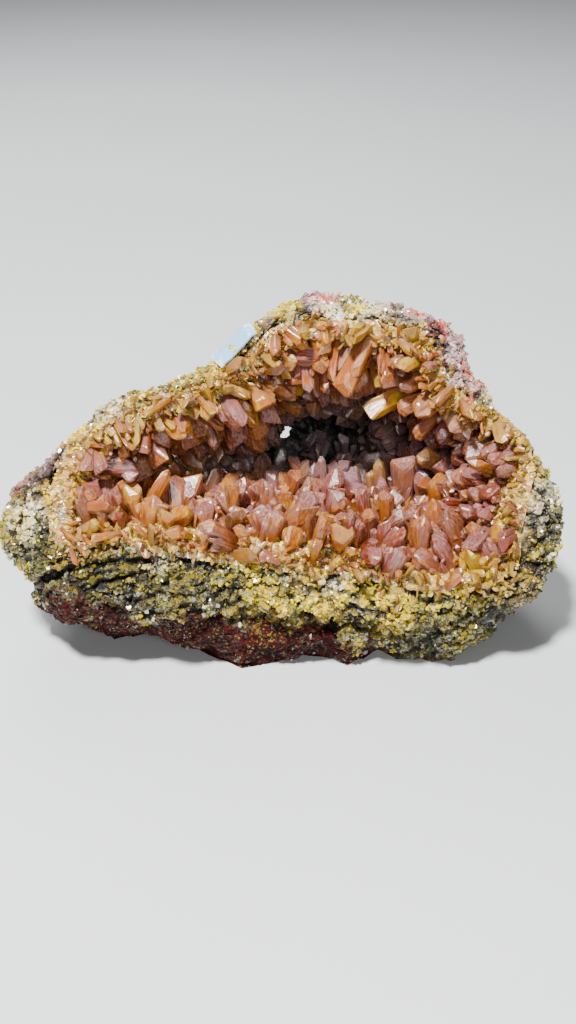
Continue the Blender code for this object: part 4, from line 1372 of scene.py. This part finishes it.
@dataclass
class CrystalHollow:
    """The lining of the hollow and all the crystals that stand on it. Lengths are in millimetres."""

    lift: float = 1.7
    edge_lift: float = -0.6
    lining_edge: float = 1.0
    lump: float = 2.2
    window_from: float = 20.0
    on_crust: float = 1.6
    by_crust: float = 9.0
    middle: float = 2.0
    widest: float = 59.5
    lengths: tuple = (7.5, 16.5)
    rim_depth: float = 7.5
    rim_flakes: int = 5000
    beyond: float = 1.0
    beyond_width: float = 2.2
    lemon_at: tuple = (49.0, -17.0)
    lemon_radius: float = 5.5
    window_clear: float = 0.55
    # the smoky grey, partly the crystals' own tint and partly painted shade, grows from this depth to full
    smoke_and_shade_from: float = 28.0
    smoke_and_shade_full: float = 56.0
    most_smoke_and_shade: float = 0.85
    sunk: float = 0.8
    stout_width: float = 2.8
    kinds: int = 22
    bend: float = 0.04
    wobble: float = 0.05
    seed: int = 21

    def __post_init__(self) -> None:
        self.rng = random.Random(self.seed)
        self.rock = merged_copy("matrix")
        bmesh.ops.triangulate(self.rock, faces=self.rock.faces)
        self.wall = BVHTree.FromBMesh(self.rock)
        self.crust = BVHTree.FromBMesh(merged_copy("crystal_crust"))
        self.covered = [face for face in self.rock.faces if self.by(face, self.on_crust)]
        covered = set(self.covered)
        outward = FACE.outward()
        self.open_faces = self.covered + [
            face for face in self.rock.faces
            if face.normal.dot(outward) > 0.2 and face not in covered and self.by(face, self.by_crust)]
        self.areas = [face.calc_area() for face in self.open_faces]
        self.made: list[Crystal] = []

    def by(self, face: bmesh.types.BMFace, reach: float) -> bool:
        """Tells whether a face of the wall lies within reach of the crust."""
        return self.crust.find_nearest(face.calc_center_median(), reach * MM)[0] is not None

    def smoke(self, point: Vector) -> float:
        """Gives how much smoky grey the crystals and lining get at a point, partly their own smoky tint and
        partly painted shade: more, the deeper they stand.
        """
        depth = FACE.read(point).z - self.smoke_and_shade_from
        return clamped(depth / (self.smoke_and_shade_full - self.smoke_and_shade_from)) * self.most_smoke_and_shade

    def off_window(self, point: Vector) -> float:
        """Gives how far a point is seen from the window's middle."""
        return (FACE.seen(point) - Vector(WINDOW)).length

    def in_lemon(self, point: Vector) -> bool:
        """Tells whether a point is seen in the lemon patch of the rim."""
        return (FACE.seen(point) - Vector(self.lemon_at)).length < self.lemon_radius

    def stand(self, rows: tuple, tint: tuple[float, float], frost: float) -> None:
        """Stands crystals on the parts of the wall that the eye looks at.

        Args:
            rows: The crystals as seen.
            tint: Their least and greatest tint.
            frost: How frosted they are.
        """
        for foot_across, foot_up, tip_across, tip_up, width in rows:
            way = FACE.sight(foot_across, foot_up)
            foot, normal, _, _ = self.wall.ray_cast(FACE.eye(), way)
            if foot is None:
                foot, normal, _, _ = self.wall.find_nearest(FACE.place(foot_across, foot_up, 0))
            normal = normal if normal.dot(way) < 0 else -normal
            seen = math.hypot(tip_across - foot_across, tip_up - foot_up)
            wanted = foot + normal * max(1.4 * seen, 1.9 * width) * MM
            way = FACE.sight(tip_across, tip_up)
            tip = FACE.eye() + way * (wanted - FACE.eye()).dot(way)
            self.keep(foot, tip, width, normal, tint, frost)

    def hang(self, rows: tuple, tint: tuple[float, float], frost: float) -> None:
        """Hangs crystals from the roof.

        Args:
            rows: The crystals as seen, with the depth of their tips.
            tint: Their least and greatest tint.
            frost: How frosted they are.
        """
        for foot_across, foot_up, tip_across, tip_up, width, depth in rows:
            tip = FACE.seen_at(tip_across, tip_up, depth)
            foot, normal, _, _ = self.wall.find_nearest(FACE.seen_at(foot_across, foot_up, depth))
            self.keep(foot, tip, width, normal, tint, frost)

    def keep(self, foot: Vector, tip: Vector, width: float, normal: Vector,
             tint: tuple[float, float], frost: float) -> None:
        """Keeps a crystal, with its length held between the known sizes.

        Args:
            foot: Its foot on the wall.
            tip: Its tip.
            width: Its width.
            normal: The wall's normal.
            tint: The least and greatest tint.
            frost: How frosted it is.
        """
        run = tip - foot
        least, most = self.lengths
        tip = foot + run.normalized() * min(max(run.length, least * MM), most * MM)
        self.made.append(Crystal(foot, tip, width, normal, self.rng.uniform(*tint),
                                 frost * self.rng.uniform(0.5, 1.2), self.smoke(foot)))

    def fill(self, count: int, length: tuple, width: tuple, gap: float, lean: float,
             rim: bool) -> None:
        """Stands crystals between the ones there already.

        Args:
            count: How many are tried.
            length: Their least and greatest length.
            width: Their least and greatest width.
            gap: How far their feet stay apart.
            lean: How far they lean, as a spread.
            rim: Whether they are the yellow ones near the rim.
        """
        outward = FACE.outward()
        grid: dict = {}
        for crystal in self.made:
            grid.setdefault(self.cell(crystal.foot, gap), []).append(crystal.foot)
        for face in self.rng.choices(self.open_faces, weights=self.areas, k=count):
            foot = random_point(self.rng, face)
            if rim != (self.near_rim(foot, face.normal) + 0.4 * noise.noise(foot / (5.0 * MM)) > 0.15):
                continue
            off_crust = self.crust.find_nearest(foot)[3] / MM - self.on_crust
            bare = off_crust > 0
            far = not rim or width[1] > self.beyond_width or (
                self.rng.random() > math.exp(-off_crust / self.beyond))
            if (bare and far) or self.crowded(grid, foot, gap):
                continue
            grid.setdefault(self.cell(foot, gap), []).append(foot)
            way = (face.normal + outward * 0.3 + random_vector(self.rng, lean)).normalized()
            tip = foot + way * self.rng.uniform(*length) * (0.6 if bare else 1.0) * MM
            aside = abs(FACE.seen(tip).x - self.middle) > self.widest
            if aside or self.shades_window(foot, tip, width[1]):
                continue
            tint, frost, powder = self.character(foot, rim, bare)
            crystal = Crystal(foot, tip, self.rng.uniform(*width), face.normal * (-0.8 if bare else 1.0),
                              tint, frost, self.smoke(foot), powder)
            if not (rim and self.stands_out(tip)):
                self.made.append(crystal)

    def character(self, foot: Vector, rim: bool, bare: bool) -> tuple[float, float, float]:
        """Draws a crystal's looks.

        Args:
            foot: Where it stands.
            rim: Whether it stands near the rim.
            bare: Whether it stands on the rock beyond the crust.

        Returns:
            Its tint, frost and powder.
        """
        tint = self.rng.uniform(0.02, 0.42) if rim else self.rng.uniform(0.12, 0.85)
        tint += 0.15 if FACE.seen(foot).x > 25 and not rim else 0.0
        frost = self.rng.uniform(0.2, 1.0)
        powder = self.rng.uniform(-0.2, 0.8) if rim else self.rng.uniform(-0.5, 0.25)
        if self.in_lemon(foot):
            tint, powder, frost = self.rng.uniform(0.0, 0.06), 0.0, 0.2
        if bare:
            tint, powder = 0.5 * tint, self.rng.uniform(0.5, 1.0)
        return tint, frost, max(0.0, powder)

    def stands_out(self, tip: Vector) -> bool:
        """Tells whether a crystal's tip stands out past the rock's outline, as seen from the eye."""
        return self.wall.ray_cast(tip, (tip - FACE.eye()).normalized())[0] is None

    @staticmethod
    def cell(point: Vector, gap: float) -> tuple[int, int, int]:
        """Gives the cell of a coarse grid that a point lies in."""
        return tuple(int(math.floor(point[k] / (gap * MM))) for k in range(3))

    def crowded(self, grid: dict, foot: Vector, gap: float) -> bool:
        """Tells whether another crystal's foot is nearer than the gap.

        Args:
            grid: The feet there already, by cell.
            foot: The new foot.
            gap: How far feet stay apart.

        Returns:
            Whether there is one.
        """
        key, steps = self.cell(foot, gap), (-1, 0, 1)
        return any((foot - other).length < gap * MM for a in steps for b in steps for c in steps
                   for other in grid.get((key[0] + a, key[1] + b, key[2] + c), []))

    def near_rim(self, point: Vector, normal: Vector) -> float:
        """Gives how near the rim a point of the wall is.

        Args:
            point: The point.
            normal: The wall's normal there. The zone is narrower where the wall is the floor.

        Returns:
            A share from 1 at the rim to 0.
        """
        upward = (FACE.place(0, 1, 0) - FACE.place(0, 0, 0)).normalized()
        zone = self.rim_depth * (1.0 - 0.7 * clamped(1.6 * normal.dot(upward)))
        return clamped(1.0 - FACE.read(point).z / zone)

    def shades_window(self, foot: Vector, tip: Vector, width: float) -> bool:
        """Tells whether a crystal of this width would stand in front of the window."""
        clear = self.window_clear + 0.25 * width
        return any(self.off_window(foot.lerp(tip, share)) < clear for share in (0, 0.35, 0.7, 1.0))

    def flake_marks(self, face: bmesh.types.BMFace, rng: random.Random) -> dict | None:
        """Gives a flake's marks, or nothing where none lies: they thin out away from the rim."""
        if rng.random() > 1.3 * self.near_rim(face.verts[0].co, face.normal):
            return None
        marks = {"tan": rng.uniform(-0.8, 0.8), "pale": rng.uniform(-0.8, 0.3)}
        return {"tint": rng.uniform(0.4, 0.6)} if self.in_lemon(face.verts[0].co) else marks

    def build_lining(self, material: bpy.types.Material, flake: bpy.types.Material) -> None:
        """Builds the lining that joins the crystals' feet.

        Args:
            material: Its material.
            flake: The material of the flakes near the rim.
        """
        bm = self.rock.copy()
        keep = {face.index for face in self.covered}
        bmesh.ops.delete(bm, geom=[f for f in bm.faces if f.index not in keep], context="FACES")
        paint(bm, "lift", lambda vert: self.edge_lift if vert.is_boundary else self.lift)
        bm.normal_update()
        split_long_edges(bm, lambda edge: self.lining_edge * SPLIT * MM)
        lift = bm.verts.layers.float["lift"]
        for vert in bm.verts:
            at = vert.co / MM
            cell = noise.voronoi(at / self.lump)[1][0]
            rise = 0.7 * (at / self.lump - cell).dot(noise.noise_vector(cell * 4.3)) * 1.8
            rise += 0.5 * noise.noise(at / 4.0)
            vert.co = held_in_box(vert.co + vert.normal * (vert[lift] + rise) * MM)
        open_at = [face for face in bm.faces if FACE.read(face.verts[0].co).z > self.window_from and all(
            self.off_window(vert.co) < self.window_clear for vert in face.verts)]
        bmesh.ops.delete(bm, geom=open_at, context="FACES")
        # painted shade: the lining darkens deeper in the hollow
        paint(bm, "smoke", lambda vert: self.smoke(vert.co))
        paint(bm, "powder", lambda vert: self.near_rim(vert.co, vert.normal))
        bm.normal_update()
        rim = [face for face in bm.faces if self.near_rim(face.verts[0].co, face.normal) > 0]
        pile = FlakePile(sizes=(0.3, 0.4, 0.5, 0.65, 0.85), seed=8)
        pile.lay("hollow_flakes", rim, self.rim_flakes, self.flake_marks, flake)
        mounted(mesh_of("hollow_lining", bm), material, "crystal_crust")

    def build_crystals(self, material: bpy.types.Material) -> None:
        """Builds all the crystals, the large ones with smaller ones grown onto them.

        Args:
            material: Their material.
        """
        stout = [crystal_shape(Habit.STOUT, seed) for seed in range(14)]
        blade = [crystal_shape(Habit.BLADE, seed) for seed in range(40, 48)]
        grain = [crystal_shape(Habit.GRAIN, seed) for seed in range(70, 80)]
        marks = ("tint", "frost", "smoke", "powder")
        large, small = Repeated(stout + blade, marks), Repeated(grain, marks)
        for crystal in self.made:
            run = crystal.tip - crystal.foot
            axis, side = run.normalized(), random_vector(self.rng, 1)
            half = crystal.width * MM * (0.68 if crystal.width > self.stout_width else 0.6)
            values = {mark: getattr(crystal, mark) for mark in marks}
            flat = self.rng.uniform(*((0.3, 0.55) if crystal.powder > 0.2 else (0.6, 0.95)))
            start = crystal.foot + crystal.normal * self.sunk * MM
            body = max(run.length - 0.8 * half, 0.5 * run.length)
            pile = large if crystal.width >= self.beyond_width else small
            pile.add(self.rng.randrange(self.kinds), start, axis, side, (half, half * flat, body), **values)
            if crystal.width >= self.stout_width:
                self.add_twins(large, start, axis, side, (half, body), values)
        for name, pile in (("large_crystals", large), ("small_crystals", small)):
            mounted(pile.mesh(name, self.bend, self.wobble * MM), material)

    def add_twins(self, pile: Repeated, start: Vector, axis: Vector, side: Vector,
                  size: tuple[float, float], values: dict) -> None:
        """Adds up to two smaller crystals grown onto a large one.

        Args:
            pile: The pile they go into.
            start: The large one's foot.
            axis: Its direction.
            side: The direction of its width.
            size: Its half width and length, in metres.
            values: Its marks.
        """
        half, body = size
        for _ in range(self.rng.choice((0, 1, 1, 2))):
            off = axis.cross(random_vector(self.rng, 1)).normalized()
            share = self.rng.uniform(0.45, 0.85)
            lean = (axis + off * self.rng.uniform(0.0, 0.25)).normalized()
            own = (half * self.rng.uniform(0.4, 0.7), half * self.rng.uniform(0.35, 0.6), body * share)
            marks = dict(values, tint=values["tint"] + self.rng.uniform(-0.1, 0.1))
            pile.add(self.rng.randrange(self.kinds), start + off * half * 0.75, lean, side, own, **marks)

    def build(self, lining: bpy.types.Material, crystal: bpy.types.Material,
              flake: bpy.types.Material) -> None:
        """Builds the whole hollow.

        Args:
            lining: The lining's material.
            crystal: The crystals' material.
            flake: The material of the flakes near the rim.
        """
        for rows, tint, frost in ((FLOOR, (0.2, 0.76), 1.0), (AMBER, (0.1, 0.2), 0.1),
                                  (RIGHT, (0.7, 0.95), 0.15), (LEFT, (0.1, 0.6), 0.8),
                                  (BACK, (0.5, 0.8), 0.6)):
            self.stand(rows, tint, frost)
        self.hang(ROOF, (0.35, 0.7), 0.8)
        for growth in GROWTHS:
            self.fill(*growth)
        log.info("%d crystals", len(self.made))
        self.build_lining(lining, flake)
        self.build_crystals(crystal)


@dataclass
class PaperScrap:
    """The torn scrap of paper on the slope of the left shoulder. Lengths are in millimetres."""

    edge: float = 0.5
    cockle: float = 0.12
    cockle_size: float = 1.6
    torn_from: float = 0.62

    def build(self, paper: bpy.types.Material) -> None:
        """Builds the scrap as a finer sheet with frayed edges.

        Args:
            paper: Its material.
        """
        bm = merged_copy("label_scrap")
        bmesh.ops.triangulate(bm, faces=bm.faces)
        split_long_edges(bm, lambda edge: self.edge * SPLIT * MM)
        low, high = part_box("label_scrap")
        middle, reach = (low + high) / 2, (high - low).length / 2
        for vert in bm.verts:
            stray = noise.noise_vector(vert.co / (self.cockle_size * MM)) * self.cockle * MM
            vert.co = held_in_box(vert.co + stray)
        paint(bm, "torn", lambda vert: clamped((
            (vert.co - middle).length / reach - self.torn_from + 0.3 * noise.noise(vert.co / MM)) * 5))
        mounted(mesh_of("paper_scrap", bm), paper, "label_scrap")


# Studio


@dataclass
class Studio:
    """The floor, the soft lights and the camera."""

    lens: float = 48.0
    sensor: float = 36.0
    near: float = 0.01
    floor_size: float = 3.0
    aim: tuple = (0.0, 0.0, 0.045)
    lights: tuple = (
        ("key", (-0.17, -0.40, 0.85), 0.12, 32.0), ("fill", (0.08, -0.84, 0.53), 0.3, 3.6),
        ("back", (-0.2, 0.6, 0.6), 0.5, 5.0),
    )
    sky: str = "#c9ced4"
    sky_strength: float = 0.16

    def build(self, board: bpy.types.Material) -> None:
        """Builds the studio.

        Args:
            board: The floor's material.
        """
        bm = bmesh.new()
        bmesh.ops.create_grid(bm, x_segments=8, y_segments=8, size=self.floor_size / 2)
        mesh = mesh_of("floor", bm)
        mesh.materials.append(board)
        linked("floor", mesh)
        for name, place, size, power in self.lights:
            light = bpy.data.lights.new(name, "AREA")
            light.shape, light.size, light.energy = "DISK", size, power
            lamp = linked(name, light)
            lamp.location = place
            lamp.rotation_euler = self.turned(Vector(self.aim) - Vector(place))
        world = bpy.data.worlds.new("studio")
        world.use_nodes = True
        background = world.node_tree.nodes["Background"]
        background.inputs["Color"].default_value = linear(self.sky)
        background.inputs["Strength"].default_value = self.sky_strength
        bpy.context.scene.world = world
        camera = bpy.data.cameras.new("camera")
        camera.lens, camera.sensor_width, camera.clip_start = self.lens, self.sensor, self.near
        eye = linked("camera", camera)
        eye.location = FACE.eye()
        eye.rotation_euler = self.turned(-FACE.outward())
        bpy.context.scene.camera = eye

    @staticmethod
    def turned(way: Vector):
        """Gives the rotation that points a lamp or camera along a direction."""
        return way.to_track_quat("-Z", "Y").to_euler()


def main() -> None:
    """Builds every piece in order."""
    logging.basicConfig(level=logging.INFO, format="%(name)s: %(message)s")
    noise.seed_set(NOISE_SEED)
    Studio().build(StudioFloor().make())
    flake = MineralFlake().make()
    BrokenRock().build(GranularRock().make(), flake)
    CrystalHollow().build(Druse().make(), ResinousCrystal().make(), flake)
    PaperScrap().build(LabelPaper().make())


if __name__ == "__main__":
    main()
